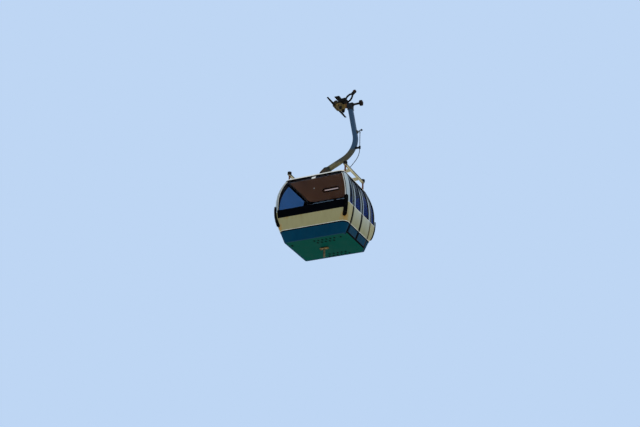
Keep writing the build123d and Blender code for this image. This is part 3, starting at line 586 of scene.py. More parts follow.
plainGlass = {
    "smearScale": 5, "drawnOut": 0.4, "tintRange": (0.4, 0.75), "roughRange": (0.45, 0.8),
    "rough": (0.0, 0.05), "specular": 0.4, "ior": 1.06, "daylight": (255, 255, 255),
}
glassLooks = {
    "endGlass": {"tint": (206, 204, 208), "smear": (198, 196, 200), "ior": 1.08},
    "sideGlass": {"tint": (15, 46, 104), "smear": (12, 41, 96)},
    "blueGlass": {"tint": (66, 108, 150), "smear": (60, 101, 142), "smearScale": 4},
}

materials = {name: coated(name, look) for name, look in finishes.items()}
materials.update({name: tintedGlass(name, look) for name, look in glassLooks.items()})

skirts, waists = (
    ["skirt_aft", "skirt_fore", "skirt_closed_side"],
    ["waist_aft", "waist_fore", "waist_closed_side"],
)
posts, leaves = ["posts_aft", "posts_fore"], ["door_leaf_aft", "door_leaf_fore"]
rollerNames = ["aft_closed", "aft_door", "fore_closed", "fore_door"]

nodeFinishes = {
    "skirtPaint": skirts,
    "waistPaint": waists,
    "doorPaint": leaves,
    "postPaint": posts,
    "roofMoulding": ["roof_shell"],
    "beltMoulding": ["belt_aft", "belt_fore", "belt_closed_side"],
    "floorPaint": ["floor_pan", "door_sill"],
    "ceilingLining": ["ceiling_panel"],
    "benchMoulding": ["bench_aft", "bench_fore", "bench_backs"],
    "framePaint": ["roof_frame"],
    "hangerPaint": ["hanger_arm"],
    "headCasting": ["hanger_head"],
    "footCasting": ["hanger_foot"],
    "gripCasting": ["grip_body", "moving_jaw"],
    "forgedLever": ["fork_lever"],
    "greasedSteel": ["lever_pin", "pivot_shaft"],
    "blackPlate": ["friction_plate", "spring_cups", "rope_tongues", "cable_clip", "cable_glands"],
    "rustySteel": ["guide_axles"],
    "controlPaint": ["control_bracket", "control_lever"],
    "guidePaint": ["floor_guide"],
    "sealRubber": ["window_seals", "door_seals", "vent_rims", "roof_dampers", "floor_mat"],
    "bumperRubber": ["corner_bumpers"],
    "rollerTyre": ["guide_roller_" + name for name in rollerNames] + ["control_roller"],
    "gripTyre": ["lever_roller", "outer_roller"],
    "cableSheath": ["control_cable"],
    "endGlass": ["end_window_aft", "end_window_fore", "vent_flaps"],
    "sideGlass": ["side_windows", "door_glass_aft", "door_glass_fore"],
    "blueGlass": ["closed_side_window"],
}

for finishName, names in nodeFinishes.items():
    for name in names:
        slots = nodes[name].data.materials
        slots.clear()
        slots.append(materials[finishName])
print("materials given to the nodes")

# modelling helpers

ends = (("aft", -1), ("fore", 1))
corners = [(x, y) for x in (-1, 1) for y in (-1, 1)]
closeGap, nodeGap = 1e-6, 2e-5  # vertices nearer than this are one, in a new shape and in a CAD node
creaseAngle = 32  # degrees, past which an edge shades sharp
upright, along, across = Vector((0, 0, 1)), Vector((1, 0, 0)), Vector((0, 1, 0))


def atCabin(x, y, z):
    return cabinMiddle + Vector((x, y, z))


# the middle and the length of a (low, high) pair, such as a piece's reach along one axis
def middleOf(span):
    return sum(span) / 2


def lengthOf(span):
    return span[1] - span[0]


# a matrix that stands a stock shape on a place, its Z along a direction
def aimed(place, direction, spin=0):
    turn = Vector(direction).to_track_quat("Z", "Y").to_matrix().to_4x4()
    return Matrix.Translation(place) @ turn @ Matrix.Rotation(math.radians(spin), 4, "Z")


# steps from an axis to places round a circle about it
def roundAxis(number, radius, first, axis, start=0.0):
    second = Vector(axis).cross(first)
    turns = [start + math.tau * step / number for step in range(number)]
    return [(first * math.cos(turn) + second * math.sin(turn)) * radius for turn in turns]


def closeUp(bm):
    bmesh.ops.remove_doubles(bm, verts=bm.verts, dist=closeGap)
    bmesh.ops.recalc_face_normals(bm, faces=bm.faces)


def soften(bm, edges, width, segments=2):
    bmesh.ops.bevel(
        bm, geom=edges, offset=width, offset_type="OFFSET", segments=segments, profile=0.5,
        affect="EDGES", material=-1, clamp_overlap=True,
    )


# a shape turned round Z from (radius, height) points
def turned(profile, steps=28):
    bm = bmesh.new()
    line = [bm.verts.new((radius, 0, height)) for radius, height in profile]
    edges = [bm.edges.new(pair) for pair in zip(line, line[1:])]
    bmesh.ops.spin(
        bm, geom=line + edges, cent=(0, 0, 0), axis=(0, 0, 1), dvec=(0, 0, 0),
        angle=math.tau, steps=steps, use_merge=True,
    )
    closeUp(bm)
    return bm


# a ring between two radii and two heights, its outer corners cut back by (in, up or down)
def ringMesh(inner, outer, low, high, steps, under=None, over=None):
    lower = [(outer - under[0], low), (outer, low + under[1])] if under else [(outer, low)]
    upper = [(outer, high - over[1]), (outer - over[0], high)] if over else [(outer, high)]
    return keepMesh(turned([(inner, low), *lower, *upper, (inner, high), (inner, low)], steps), "ring")


# a rounded block about a place
def block(size, edge, segments=2, middle=(0, 0, 0)):
    bm = bmesh.new()
    bmesh.ops.create_cube(bm, size=1)
    bmesh.ops.scale(bm, vec=size, verts=bm.verts)
    soften(bm, bm.edges[:], edge, segments)
    bmesh.ops.translate(bm, verts=bm.verts, vec=middle)
    return bm


# a flat plate from its outline, raised along Z, with its upper edge rounded
def plateShape(outline, thickness, edge):
    bm = bmesh.new()
    face = bm.faces.new([bm.verts.new((x, y, 0)) for x, y in outline])
    lifted = bmesh.ops.extrude_face_region(bm, geom=[face])
    verts = [item for item in lifted["geom"] if isinstance(item, bmesh.types.BMVert)]
    bmesh.ops.translate(bm, verts=verts, vec=(0, 0, thickness))
    top = [line for line in bm.edges if all(vert in verts for vert in line.verts)]
    bmesh.ops.recalc_face_normals(bm, faces=bm.faces)
    soften(bm, top, edge)
    return bm


def hexMesh(width, thickness, edge):
    radius = width / math.sqrt(3)
    outline = [(radius * math.cos(math.tau * i / 6), radius * math.sin(math.tau * i / 6)) for i in range(6)]
    return keepMesh(plateShape(outline, thickness, edge), "hexagon")


def stamp(bm, mesh, matrix=Matrix()):
    placed = mesh.copy()
    placed.transform(matrix)
    bm.from_mesh(placed)
    bpy.data.meshes.remove(placed)


# hexagon head on a washer, with the thread's end where it is a nut
def boltMesh(width, height, thread=0.0):
    washer = width * 0.12
    bm = turned([
        (0, -washer), (width * 0.66, -washer), (width * 0.68, washer * 0.8), (width * 0.62, washer),
        (0, washer),
    ], 20)
    stamp(bm, hexMesh(width, height, width * 0.07), Matrix.Translation((0, 0, washer)))
    if thread:
        top = washer + height + thread
        end = turned([
            (0, washer), (width * 0.3, washer), (width * 0.3, top - width * 0.08), (width * 0.22, top),
            (0, top),
        ], 12)
        stamp(bm, keepMesh(end, "threadEnd"))
    return keepMesh(bm, "bolt")


# domed screw head with a countersunk ring
def screwMesh(radius):
    profile = [(0, -0.3), (1, -0.3), (1, 0.12), (0.8, 0.36), (0.4, 0.5), (0.34, 0.3), (0, 0.3)]
    return keepMesh(turned([(radius * x, radius * z) for x, z in profile], 16), "screw")


def newPiece(name, bm, finish, body, slot):
    mesh = keepMesh(bm, name)
    mesh.materials.append(materials[finish])
    mesh.shade_smooth()
    mesh.set_sharp_from_angle(angle=math.radians(creaseAngle))
    piece = newObject(name, mesh)
    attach(piece, body)


# a piece of stock shapes, each with its matrix
def stampedPiece(name, stamps, *kind):
    bm = bmesh.new()
    for mesh, matrix in stamps:
        stamp(bm, mesh, matrix)
    newPiece(name, bm, *kind)


# a round tube along points, closed or open
def tubeShape(points, radius, closed=False, smooth=True, rings=3):
    curve = bpy.data.curves.new("tube", "CURVE")
    curve.dimensions = "3D"
    curve.bevel_depth = radius
    curve.bevel_resolution = rings
    curve.use_fill_caps = not closed
    spline = curve.splines.new("NURBS" if smooth else "POLY")
    spline.points.add(len(points) - 1)
    for point, place in zip(spline.points, points):
        point.co = (*place, 1)
    if smooth:
        spline.order_u = 3
        spline.use_endpoint_u = not closed
    spline.use_cyclic_u = closed
    holder = bpy.data.objects.new("tube", curve)
    bm = bmesh.new()
    bm.from_mesh(bpy.data.meshes.new_from_object(holder))
    closeUp(bm)
    bpy.data.objects.remove(holder)
    return bm


def copyOf(names):
    bm = bmesh.new()
    for name in names:
        bm.from_mesh(nodes[name].data)
    return bm


def mergedCopy(names):
    bm = copyOf(names)
    bmesh.ops.remove_doubles(bm, verts=bm.verts, dist=nodeGap)
    return bm


def solidTree(*names):
    bm = copyOf(names)
    tree = BVHTree.FromBMesh(bm)
    bm.free()
    return tree


# where a line from outside meets CAD nodes, with the surface's direction there
def surfaceAt(tree, start, direction):
    return tree.ray_cast(Vector(start), Vector(direction).normalized())[:2]


def cutAt(bm, place, direction, **cleared):
    return bmesh.ops.bisect_plane(
        bm, geom=bm.verts[:] + bm.edges[:] + bm.faces[:], dist=closeGap, plane_co=place, plane_no=direction,
        **cleared,
    )["geom_cut"]


# trim on the cabin's skin, and a white strip that is a painted highlight: strips between two heights, or up
# the door side between two places along X

skinLook = {"outward": 0.55, "level": 0.9, "sideways": 0.4}  # how a face of the outer skin lies
seamNodes = ["skirt_aft", "skirt_fore", "waist_aft", "waist_fore"] + posts + leaves
plainTrim = {"axis": upright, "proud": 0.0018, "side": 0, "finish": "sealRubber", "slot": "seal_rubber"}
trimAndHighlightLook = {"finish": "trimAndHighlightWhite", "slot": "waist_paint"}
lipTrim = {"sources": seamNodes, "axis": along, "proud": 0.0005, "side": -1}
trims = {
    "seam_gasket": {"sources": skirts + leaves, "span": (-3.842, -3.8215), "proud": 0.0025},
    # seam_highlight: a white strip on the lip above the skirt seam, a painted highlight
    "seam_highlight": {"sources": waists + leaves, "span": (-3.8185, -3.808), "proud": 0.004, **trimAndHighlightLook},
    "sill_trim": {"sources": waists[:2] + leaves, "span": (-3.347, -3.336), **trimAndHighlightLook},
    "header_gasket": {"sources": posts + leaves, "span": (-2.4215, -2.386)},
    "seam_lip_aft": {"span": (-0.578, -0.486), **lipTrim},
    "seam_lip_middle": {"span": (-0.048, 0.048), **lipTrim},
    "seam_lip_fore": {"span": (0.504, 0.560), **lipTrim, "finish": "stainedSeal"},
}


# a strip of the cabin's own outer skin between two planes, standing a little proud
def shellBand(look):
    bm = mergedCopy(look["sources"])
    axis, side = look["axis"], look["side"]
    for limit, above in zip(look["span"], (False, True)):
        cutAt(bm, axis * limit, axis, clear_outer=above, clear_inner=not above)
    inner = []
    for face in bm.faces:
        out = face.calc_center_median() - cabinMiddle
        out.z = 0
        turnedIn = (
            face.normal.dot(out.normalized()) < skinLook["outward"]
            or abs(face.normal.z) > skinLook["level"]
        )
        otherSide = out.y * side < 0 or (side and abs(face.normal.y) < skinLook["sideways"])
        if turnedIn or otherSide:
            inner.append(face)
    bmesh.ops.delete(bm, geom=inner, context="FACES")
    bmesh.ops.solidify(bm, geom=bm.faces[:], thickness=-look["proud"])
    return bm


for name, look in trims.items():
    look = {**plainTrim, **look}
    newPiece(name, shellBand(look), look["finish"], "cabin", look["slot"])
print("trim made")

# pale beads that run up the corners beside the end windows: the white window frame, drawn bright as a painted
# highlight along the corner's edge

cornerHighlightBead = {"radius": 0.0075, "step": 0.085, "span": (-3.290, -2.432), "edge": 0.004}


# the outermost points of a node on one side, at a row of heights
def edgeLine(name, side, look):
    bm = mergedCopy([name])
    rows = round(lengthOf(look["span"]) / look["step"])
    line = []
    for row in range(rows + 1):
        level = bm.copy()
        cut = cutAt(level, (0, 0, look["span"][0] + lengthOf(look["span"]) * row / rows), upright)
        spots = [item.co.copy() for item in cut if isinstance(item, bmesh.types.BMVert)]
        outermost = max(side * spot.y for spot in spots)
        near = [spot for spot in spots if side * spot.y > outermost - look["edge"]]
        line.append(max(near, key=lambda spot: abs(spot.x)))
        level.free()
    bm.free()
    return line


for name, _ in ends:
    bm = bmesh.new()
    for side in (-1, 1):
        bead = tubeShape(edgeLine("end_window_" + name, side, cornerHighlightBead), cornerHighlightBead["radius"])
        stamp(bm, keepMesh(bead, "cornerHighlightBead"))
    newPiece("corner_highlight_beads_" + name, bm, "trimAndHighlightWhite", "cabin", "post_paint")
print("corner beads made")

# rubber beads round the doors' panes

doorBead = {"x": (0.096, 0.424), "z": (-3.329, -2.426), "corner": 0.05, "radius": 0.0075, "proud": 0.005,
            "outside": -1.2}


# points along a rounded rectangle in two measures
def roundedOutline(low, high, corner, arcSteps=5, runSteps=10):
    (left, bottom), (right, top) = low, high
    centres = [
        (right - corner, bottom + corner, -90), (right - corner, top - corner, 0),
        (left + corner, top - corner, 90), (left + corner, bottom + corner, 180),
    ]
    outline = []
    for x, y, start in centres:
        for step in range(arcSteps + 1):
            angle = math.radians(start + 90 * step / arcSteps)
            outline.append((x + corner * math.cos(angle), y + corner * math.sin(angle)))
    filled = []
    for here, after in zip(outline, outline[1:] + outline[:1]):
        parts = max(1, round(math.dist(here, after) / (math.dist(low, high) / runSteps)))
        for share in [part / parts for part in range(parts)]:
            filled.append((here[0] + (after[0] - here[0]) * share, here[1] + (after[1] - here[1]) * share))
    return filled


# the same about the middle, from its two lengths
def centredOutline(width, height, corner, arcSteps, runSteps=1):
    return roundedOutline((-width / 2, -height / 2), (width / 2, height / 2), corner, arcSteps, runSteps)


for name, sign in ends:
    leaf = solidTree("door_leaf_" + name, "door_glass_" + name)
    look = doorBead
    sides = sorted(sign * x for x in look["x"])
    outline = roundedOutline((sides[0], look["z"][0]), (sides[1], look["z"][1]), look["corner"])
    hits = [surfaceAt(leaf, (x, look["outside"], z), across)[0] for x, z in outline]
    places = [hit - across * look["proud"] for hit in hits if hit]
    newPiece(
        "door_bead_" + name, tubeShape(places, look["radius"], closed=True),
        "sealRubber", "cabin", "seal_rubber",
    )
print("door beads made")

# plates, studs and slats on the windows

outsideX = 1.3  # past the ends of the cabin
plateLook = {"y": (-0.085, 0.025), "z": (1.598, 1.672), "thickness": 0.003, "corner": 0.008, "edge": 0.0012,
             "screw": 0.004, "screws": (0.4, 0.38)}
studLook = {"y": (-0.110, -0.110), "z": (1.258, 1.258), "radius": 0.010}
slatLook = {"y": (-0.800, -0.428), "z": (1.117, 1.141), "thickness": 0.004, "gap": 0.003, "edge": 0.0015,
            "stand": 0.006, "stands": 0.44, "overlap": 0.001}


def onPane(tree, sign, look):
    start = atCabin(sign * outsideX, middleOf(look["y"]), middleOf(look["z"]))
    return surfaceAt(tree, start, (-sign, 0, 0))


# the same, with the turn that lays a plate there with its long side level
def flatOnPane(tree, sign, look):
    hit, normal = onPane(tree, sign, look)
    normal = (normal - across * normal.dot(across)).normalized()
    turn = Matrix((across, normal.cross(across), normal)).transposed().to_4x4()
    return hit, normal, turn


for name, sign in ends:
    pane, flap = solidTree("end_window_" + name), solidTree("vent_flaps")
    look = plateLook
    width, height = lengthOf(look["y"]), lengthOf(look["z"])
    hit, normal, turn = flatOnPane(pane, sign, look)
    place = Matrix.Translation(hit) @ turn
    bm = bmesh.new()
    sheet = plateShape(centredOutline(width, height, look["corner"], 3), look["thickness"], look["edge"])
    stamp(bm, keepMesh(sheet, "plateSheet"), place)
    for y, z in corners:
        spot = Vector((width * y * look["screws"][0], height * z * look["screws"][1], look["thickness"]))
        stamp(bm, screwMesh(look["screw"]), aimed(place @ spot, normal))
    newPiece("number_plate_" + name, bm, "plateWhite", "cabin", "waist_paint")
    stud = (screwMesh(studLook["radius"]), aimed(*onPane(pane, sign, studLook)))
    stampedPiece("window_stud_" + name, [stud], "plateWhite", "cabin", "pin_steel")
    look = slatLook
    hit, normal, turn = flatOnPane(flap, sign, look)
    size = (lengthOf(look["y"]), lengthOf(look["z"]), look["thickness"])
    bm = bmesh.new()
    slat = keepMesh(block(size, look["edge"]), "slat")
    stamp(bm, slat, Matrix.Translation(hit + normal * (look["gap"] + size[2] / 2)) @ turn)
    top = look["gap"] + look["overlap"]
    stand = keepMesh(turned([(0, 0), (look["stand"], 0), (look["stand"], top), (0, top)], 12), "slatStand")
    for end in (-look["stands"], look["stands"]):
        spot = hit + across * size[0] * end - normal * look["overlap"] / 2
        stamp(bm, stand, aimed(spot, normal))
    newPiece("vent_slat_" + name, bm, "ventSlat", "cabin", "seal_rubber")
print("plates and vent slats made")

# inside: a strip and a box over each end window, and a grab rail

headerLook = {"x": 0.733, "z": (1.662, 1.749), "thickness": 0.005, "gap": 0.012, "edge": 0.0015}
headerBox = {"y": (0.020, 0.110), "z": (1.700, 1.742), "depth": 0.030, "edge": 0.006}
railLook = {"x": 0.815, "half": 0.74, "z": 0.83, "radius": 0.014, "stand": 0.05, "bend": 0.03, "lead": 0.01,
            "straight": 0.12, "roseGap": 0.002}
railRose = [(0, 0), (0.03, 0), (0.03, 0.004), (0.022, 0.008), (0, 0.008)]

walls = solidTree(*posts, "roof_shell", *leaves, "side_windows", "closed_side_window", "window_seals")

for name, sign in ends:
    look = headerLook
    reach = []
    for side in (-1, 1):
        starts = [atCabin(sign * look["x"], 0, z) for z in look["z"]]
        gaps = [abs(surfaceAt(walls, start, across * side)[0].y - start.y) for start in starts]
        reach.append(side * (min(gaps) - look["gap"]))
    size = (look["thickness"], lengthOf(reach), lengthOf(look["z"]))
    middle = atCabin(sign * look["x"], middleOf(reach), middleOf(look["z"]))
    strip = block(size, look["edge"], middle=middle)
    newPiece("header_strip_" + name, strip, "headerLining", "cabin", "ceiling_panel")
    boxX = look["x"] - look["thickness"] / 2 - headerBox["depth"] / 2
    look = headerBox
    size = (look["depth"], lengthOf(look["y"]), lengthOf(look["z"]))
    middle = atCabin(sign * boxX, middleOf(look["y"]), middleOf(look["z"]))
    newPiece("header_box_" + name, block(size, look["edge"], 3, middle), "warmLining", "cabin", "bench_shell")
    look = railLook
    half = [(look["stand"], look["half"]), (look["lead"], look["half"])]
    half += [(0, look["half"] - look["bend"]), (0, look["half"] - look["straight"])]
    line = [(x, -y) for x, y in half] + [(0, 0)] + half[::-1]
    rail = tubeShape(
        [atCabin(sign * (look["x"] + x), y, look["z"]) for x, y in line], look["radius"], rings=4
    )
    rose = keepMesh(turned(railRose, 20), "railRose")
    for side in (-1, 1):
        spot = atCabin(sign * (look["x"] + look["stand"] + look["roseGap"]), side * look["half"], look["z"])
        stamp(rail, rose, aimed(spot, (-sign, 0, 0)))
    newPiece("grab_rail_" + name, rail, "platedSteel", "cabin", "pin_steel")
print("inside fittings made")

# rubber grommets in the floor's slots, with (x, first y, number) for each row, and a round plug

grommetLook = {
    "rows": (
        (-0.455, 0.078, 6), (-0.322, 0.035, 5), (0.445, 0.053, 5), (0.570, 0.113, 6), (-0.451, -0.665, 1),
    ),
    "pitch": 0.114, "length": 0.062, "width": 0.044, "rim": 0.013, "thickness": 0.003, "depth": 0.022,
    "edge": 0.001, "sunk": 0.0005, "plug": (-0.392, 0.735), "plugScale": 0.9,
}

look = grommetLook
width, height = look["length"] + 2 * look["rim"], look["width"] + 2 * look["rim"]
cup = plateShape(centredOutline(width, height, height / 2 - 0.001, 5), look["thickness"], look["edge"])
plug = cup.copy()
bmesh.ops.scale(plug, verts=plug.verts, vec=(look["plugScale"], look["plugScale"], 1))
mouth = max(cup.faces, key=lambda face: (round(face.calc_center_median().z, 5), face.calc_area()))
bmesh.ops.inset_region(cup, faces=[mouth], thickness=look["rim"] + 0.001, depth=0)
bmesh.ops.translate(cup, verts=mouth.verts, vec=(0, 0, -look["depth"]))
cup, plug = keepMesh(cup, "grommetCup"), keepMesh(plug, "floorPlug")
spots = [
    (cup, x, first - index * look["pitch"])
    for x, first, number in look["rows"] for index in range(number)
]
spots.append((plug, *look["plug"]))
over = Matrix.Rotation(math.pi, 4, "X")
stamps = [(mesh, Matrix.Translation(atCabin(x, y, look["sunk"])) @ over) for mesh, x, y in spots]
stampedPiece("floor_grommets", stamps, "sealRubber", "cabin", "seal_rubber")
print("floor grommets made")

# bolts at their places, or where a ray from a place meets a node; a size is width, height and thread


def cornerSpots(x, y, z, direction, shiftY=0.0):
    return [((x * right, middleY + shiftY + y * far, z), direction) for right, far in corners]


# the same places on both sides, each with its way out of or into the part
def pairedSpots(x, places, outwards=1):
    return [((side * x, y, z), (side * outwards, 0, 0)) for side in (-1, 1) for y, z in places]


cabinBolts = {
    "foot_bolts": {
        "finish": "greasedSteel", "slot": "hanger_paint", "size": (0.030, 0.014, 0.010),
        "spots": cornerSpots(0.140, 0.095, -2.087, upright),
    },
    "guide_bolts": {
        "finish": "rustySteel", "slot": "guide_paint", "size": (0.017, 0.009, 0.006),
        "spots": cornerSpots(0.026, 0.100, -4.142, -upright, 0.004),
    },
    "head_bolts": {
        "finish": "greasedSteel", "slot": "head_casting", "size": (0.024, 0.012),
        "spots": pairedSpots(0.070, [(y, z) for y in (-0.451, -0.361) for z in (-0.085, -0.130)]),
    },
    "cap_bolts": {
        "node": "hanger_foot", "finish": "greasedSteel", "slot": "hanger_paint", "size": (0.024, 0.012),
        "spots": pairedSpots(0.3, [(0.185, -1.830), (0.205, -1.950), (0.300, -1.830), (0.375, -1.925)], -1),
    },
    "bracket_bolts": {
        "node": "roof_frame", "finish": "rustySteel", "slot": "axle_steel", "size": (0.017, 0.008),
        "spots": [
            ((0.522 * x, middleY + 0.810 * y + shift, -2.19), upright)
            for x, y in corners for shift in (-0.013, 0.013)
        ],
    },
    "bumper_bolts": {
        "node": "corner_bumpers", "finish": "blackPlate", "slot": "bumper_rubber", "size": (0.022, 0.006),
        "spots": [
            (atCabin(1.19926 * x, 1.30226 * y, z), (-x, -y, 0))
            for x, y in corners for z in (0.475, 0.660, 0.845)
        ],
    },
    "control_bolts": {
        "node": "control_bracket", "finish": "platedSteel", "slot": "control_steel", "size": (0.013, 0.006),
        "spots": [((x, -0.9, z), across) for x in (-0.029, 0.029) for z in (-0.826, -0.900)],
    },
}


def makeBolts(looks, body, spin):
    for name, look in looks.items():
        bm = bmesh.new()
        bolt = boltMesh(*look["size"])
        solid = solidTree(look["node"]) if "node" in look else None
        for index, (place, direction) in enumerate(look["spots"]):
            if solid:
                place, direction = surfaceAt(solid, place, direction)
            if place is None:
                print("no surface for", name, index)
                continue
            stamp(bm, bolt, aimed(place, direction, spin * index))
        newPiece(name, bm, look["finish"], look.get("body", body), look.get("slot", "grip_casting"))


makeBolts(cabinBolts, "cabin", 17)
print("bolts made")

# rubber mounts between the roof and its frame

damperLook = {"x": 0.265, "y": 0.520, "low": -2.250, "high": -2.163, "radius": 0.044, "plate": 0.062,
              "thickness": 0.007, "bolt": (0.012, 0.005), "boltCircle": 0.0535}

look = damperLook
span, radius = look["high"] - look["low"], look["radius"]
ribs = [(-0.004, 0.004), (0.006, 0.014), (0.003, 0.028), (0.001, span / 2)]
ribs += [(x, span - z) for x, z in ribs[2::-1]] + ribs[:1]
ribs = keepMesh(turned([(radius + x, z) for x, z in ribs], 36), "damperRibs")
disc = ringMesh(radius - 0.003, look["plate"], 0, look["thickness"], 36, over=(0.001, 0.001))
small = boltMesh(*look["bolt"])
bm, plates = bmesh.new(), bmesh.new()
for x, y in corners:
    base = Vector((x * look["x"], middleY + y * look["y"], look["low"]))
    stamp(bm, ribs, Matrix.Translation(base))
    stamp(plates, disc, Matrix.Translation(base))
    stamp(plates, disc, aimed(base + upright * span, -upright))
    for turn, out in enumerate(roundAxis(4, look["boltCircle"], along, upright, math.radians(45))):
        stamp(plates, small, aimed(base + out + upright * look["thickness"], upright, 20 * turn))
newPiece("damper_ribs", bm, "sealRubber", "cabin", "damper_rubber")
newPiece("damper_plates", plates, "rustySteel", "cabin", "axle_steel")

# caps in the ends of the roof rails

endCap = {
    "x": 0.507, "y": 0.810, "z": 2.0115, "size": (0.006, 0.048, 0.073),
    "edge": 0.002, "flattened": 0.68,
}

look = endCap
cap = keepMesh(block(look["size"], look["edge"]), "railCap")
flat = Matrix.Diagonal((1, 1, look["flattened"], 1))
places = [Matrix.Translation(atCabin(x * look["x"], y * look["y"], look["z"])) @ flat for x, y in corners]
stampedPiece("rail_caps", [(cap, place) for place in places], "sealRubber", "cabin", "seal_rubber")
print("mounts and rail caps made")

# guide rollers: a ring of small screws on each hub, above and below, and a nut on each axle's end

hubLook = {"inner": 0.0255, "outer": 0.041, "thickness": 0.0022, "sunk": 0.001, "screw": 0.0032, "screws": 6,
           "low": -2.1005, "high": -2.0205, "x": 0.570, "y": 0.810}
axleNut = {"z": -2.012, "size": (0.026, 0.004, 0.0012)}

look = hubLook
ring = ringMesh(look["inner"], look["outer"], -look["sunk"], look["thickness"], 36, over=(0.0008, 0.0006))
screw = screwMesh(look["screw"])
nut = hexMesh(*axleNut["size"])
nuts = bmesh.new()
for name in rollerNames:
    x = look["x"] * (-1 if "aft" in name else 1)
    y = middleY + look["y"] * (1 if "closed" in name else -1)
    bm = bmesh.new()
    for height, direction in ((look["high"], upright), (look["low"], -upright)):
        place = Vector((x, y, height))
        stamp(bm, ring, aimed(place, direction))
        for out in roundAxis(look["screws"], middleOf((look["inner"], look["outer"])), along, upright):
            stamp(bm, screw, aimed(place + out + direction * look["thickness"], direction))
    newPiece("roller_hub_" + name, bm, "platedSteel", "guide_roller_" + name, "roller_rubber")
    stamp(nuts, nut, Matrix.Translation((x, y, axleNut["z"])))
newPiece("axle_nuts", nuts, "rustySteel", "cabin", "axle_steel")
print("roller details made")

# the weld under the hanger's head: a tube with shallow ripples round the arm

headWeld = {
    "size": (0.120, 0.126), "corner": 0.020, "y": -0.4245, "z": -0.1505, "radius": 0.006,
    "ripple": 0.0012, "waves": 350, "runs": 14,
}

look = headWeld
outline = centredOutline(*look["size"], look["corner"], 6, look["runs"])
weld = tubeShape([(x, look["y"] + y, look["z"]) for x, y in outline], look["radius"], True, False, 2)
for vert in weld.verts:
    vert.co += vert.normal * math.sin(sum(vert.co) * look["waves"]) * look["ripple"]
newPiece("head_weld", weld, "headCasting", "cabin", "head_casting")
print("weld made")

# grip: bolts, rings, washers and pins

gripBolts = {
    "post_bolts": {"node": "grip_body", "finish": "blackPlate", "size": (0.024, 0.011),
                   "spots": pairedSpots(0.3, [(-0.095, 0.165), (-0.095, 0.215)], -1)},
    "jaw_bolts": {"node": "grip_body", "finish": "blackPlate", "size": (0.024, 0.012),
                  "spots": pairedSpots(0.3, [(-0.120, -0.010)], -1)},
    "shoe_bolts": {"node": "moving_jaw", "finish": "blackPlate", "size": (0.020, 0.010), "body": "lever",
                   "spots": pairedSpots(0.3, [(0.045, 0.020), (0.030, 0.058)], -1)},
    "cup_bolts": {"node": "spring_cups", "finish": "greasedSteel", "size": (0.030, 0.012),
                  "spots": [((x, -0.150, -0.3), upright) for x in (-0.096, 0.096)]},
}
makeBolts(gripBolts, "grip", 23)

platePins = {"x": (0.060, 0.112), "y": (-0.100, -0.005), "z": 0.294, "radius": 0.008}

look = platePins
screw = screwMesh(look["radius"])
places = [aimed((side * x, y, look["z"]), upright) for x in look["x"] for side in (-1, 1) for y in look["y"]]
stampedPiece("plate_pins", [(screw, place) for place in places], "greasedSteel", "grip", "plate_steel")

bossRing = {
    "inner": 0.061, "outer": 0.068, "y": (-0.308, -0.284), "edge": 0.002,
    "bolts": 5, "bolt": (0.013, 0.006),
}

look = bossRing
edge = (look["edge"], look["edge"])
ring = ringMesh(look["inner"], look["outer"], 0, lengthOf(look["y"]), 48, edge, edge)
bm = bmesh.new()
stamp(bm, ring, aimed(across * look["y"][1], -across))
small = boltMesh(*look["bolt"])
for turn in range(look["bolts"]):
    angle = -math.pi * turn / (look["bolts"] - 1)
    out = Vector((math.cos(angle), 0, math.sin(angle)))
    stamp(bm, small, aimed(across * middleOf(look["y"]) + out * look["outer"], out))
newPiece("boss_ring", bm, "rustySteel", "grip", "grip_casting")

cupBands = {"x": 0.096, "y": -0.150, "inner": 0.034, "outer": 0.040, "half": 0.003, "edge": (0.001, 0.001),
            "heights": (-0.060, -0.078, -0.096)}

look = cupBands
band = ringMesh(look["inner"], look["outer"], -look["half"], look["half"], 36, look["edge"], look["edge"])
places = [Matrix.Translation((x, look["y"], z)) for x in (-look["x"], look["x"]) for z in look["heights"]]
stampedPiece("cup_bands", [(band, place) for place in places], "greasedSteel", "grip", "grip_casting")

# washers and split pins on the lever's pin

pinLook = {"x": 0.1150, "y": -0.095, "z": 0.110, "inner": 0.0175, "outer": 0.027, "thickness": 0.003,
           "edge": (0.0008, 0.0008), "pin": 0.0022, "pinGap": 0.0032, "pinEnds": (-0.026, 0, 0.024),
           "eye": (0.0035, 0.007, -0.002, 0.002), "eyeUp": 0.028}

look = pinLook
washer = ringMesh(look["inner"], look["outer"], 0, look["thickness"], 28, under=look["edge"])
eye = ringMesh(*look["eye"], 14)
bm = bmesh.new()
for side in (-1, 1):
    out = along * side
    stamp(bm, washer, aimed((side * look["x"], look["y"], look["z"]), out))
    place = Vector((side * (look["x"] + look["thickness"] + look["pinGap"]), look["y"], look["z"]))
    pin = tubeShape([place + upright * end for end in look["pinEnds"]], look["pin"], smooth=False)
    stamp(bm, keepMesh(pin, "splitPin"))
    stamp(bm, eye, aimed(place + upright * look["eyeUp"], out))
newPiece("lever_pin_washers", bm, "greasedSteel", "lever", "pin_steel")

# nuts on the lever roller's axle, and a grease nipple in each

tipLook = {"x": 0.043, "y": -0.517, "z": 0.400, "nut": (0.034, 0.010, 0.003), "turn": 10}
nippleProfile = [
    (0, 0), (0.005, 0), (0.005, 0.004), (0.0028, 0.005), (0.0028, 0.010), (0.0040, 0.012), (0.002, 0.014),
    (0, 0.014),
]

look = tipLook
nut, nipple = hexMesh(*look["nut"]), keepMesh(turned(nippleProfile, 12), "nipple")
bm = bmesh.new()
for side in (-1, 1):
    place, out = Vector((side * look["x"], look["y"], look["z"])), along * side
    stamp(bm, nut, aimed(place, out, look["turn"]))
    stamp(bm, nipple, aimed(place + out * look["nut"][1], out))
newPiece("lever_axle_nuts", bm, "rustySteel", "lever", "pin_steel")

# bolted rings on the hubs of the two grip rollers

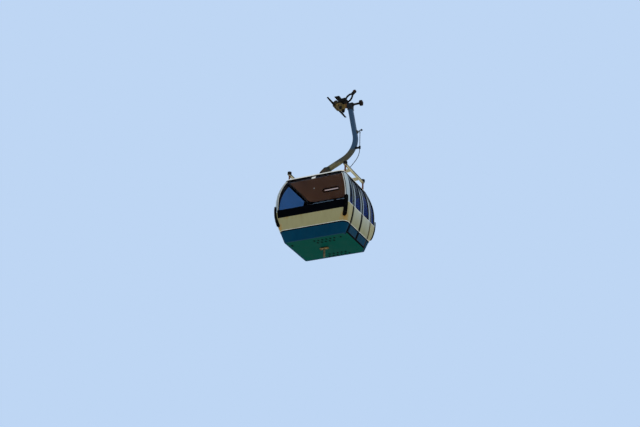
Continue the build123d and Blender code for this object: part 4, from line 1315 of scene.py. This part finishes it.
gripHubs = {
    "lever_roller": {
        "centre": (0, -0.517, 0.400), "axis": along, "half": 0.0220, "inner": 0.016, "outer": 0.030,
        "thickness": 0.0025, "bolts": 5,
    },
    "outer_roller": {
        "centre": (0, -0.716, 0), "axis": across, "half": 0.0230, "inner": 0.036, "outer": 0.051,
        "thickness": 0.004, "bolts": 6,
    },
}
hubBolt, hubSunk, hubEdge = (0.009, 0.003), 0.001, (0.001, 0.0008)

head = boltMesh(*hubBolt)
for name, look in gripHubs.items():
    axis = look["axis"]
    ring = ringMesh(look["inner"], look["outer"], -hubSunk, look["thickness"], 40, over=hubEdge)
    radius = middleOf((look["inner"], look["outer"]))
    bm = bmesh.new()
    for way in (-axis, axis):
        place = Vector(look["centre"]) + way * look["half"]
        stamp(bm, ring, aimed(place, way))
        for out in roundAxis(look["bolts"], radius, axis.orthogonal().normalized(), axis):
            stamp(bm, head, aimed(place + out + way * look["thickness"], way))
    newPiece(name + "_hub", bm, "rustySteel", name, "grip_roller")

# the nut on the shaft's end

shaftNut = {"y": -0.7535, "size": (0.062, 0.016, 0.004), "turn": 12}

look = shaftNut
nut = hexMesh(*look["size"])
stampedPiece(
    "shaft_nut", [(nut, aimed(across * look["y"], -across, look["turn"]))],
    "rustySteel", "grip", "pin_steel",
)
print("grip details made")

# ties that hold the control cable, and the return spring of its lever

tieLook = {"inner": 0.0085, "outer": 0.0115, "half": 0.003, "y": -0.697, "heights": (-1.05, -1.22)}
springLook = {"x": 0.0125, "y": -0.628, "z": -0.862, "turns": 4, "steps": 12, "radius": 0.013, "wire": 0.0016,
              "length": 0.0075}

look = tieLook
tie = ringMesh(look["inner"], look["outer"], -look["half"], look["half"], 20)
places = [aimed((0, look["y"], height), upright) for height in look["heights"]]
stampedPiece("cable_ties", [(tie, place) for place in places], "sealRubber", "cabin", "cable_sheath")

look = springLook
number = look["turns"] * look["steps"]
points = []
for step in range(number + 1):
    angle = math.tau * step / look["steps"]
    out = Vector((0, math.cos(angle), math.sin(angle))) * look["radius"]
    points.append(Vector((-look["x"] - look["length"] * step / number, look["y"], look["z"])) + out)
newPiece("control_spring", tubeShape(points, look["wire"], rings=2), "platedSteel", "cabin", "control_steel")
print("cable details made")
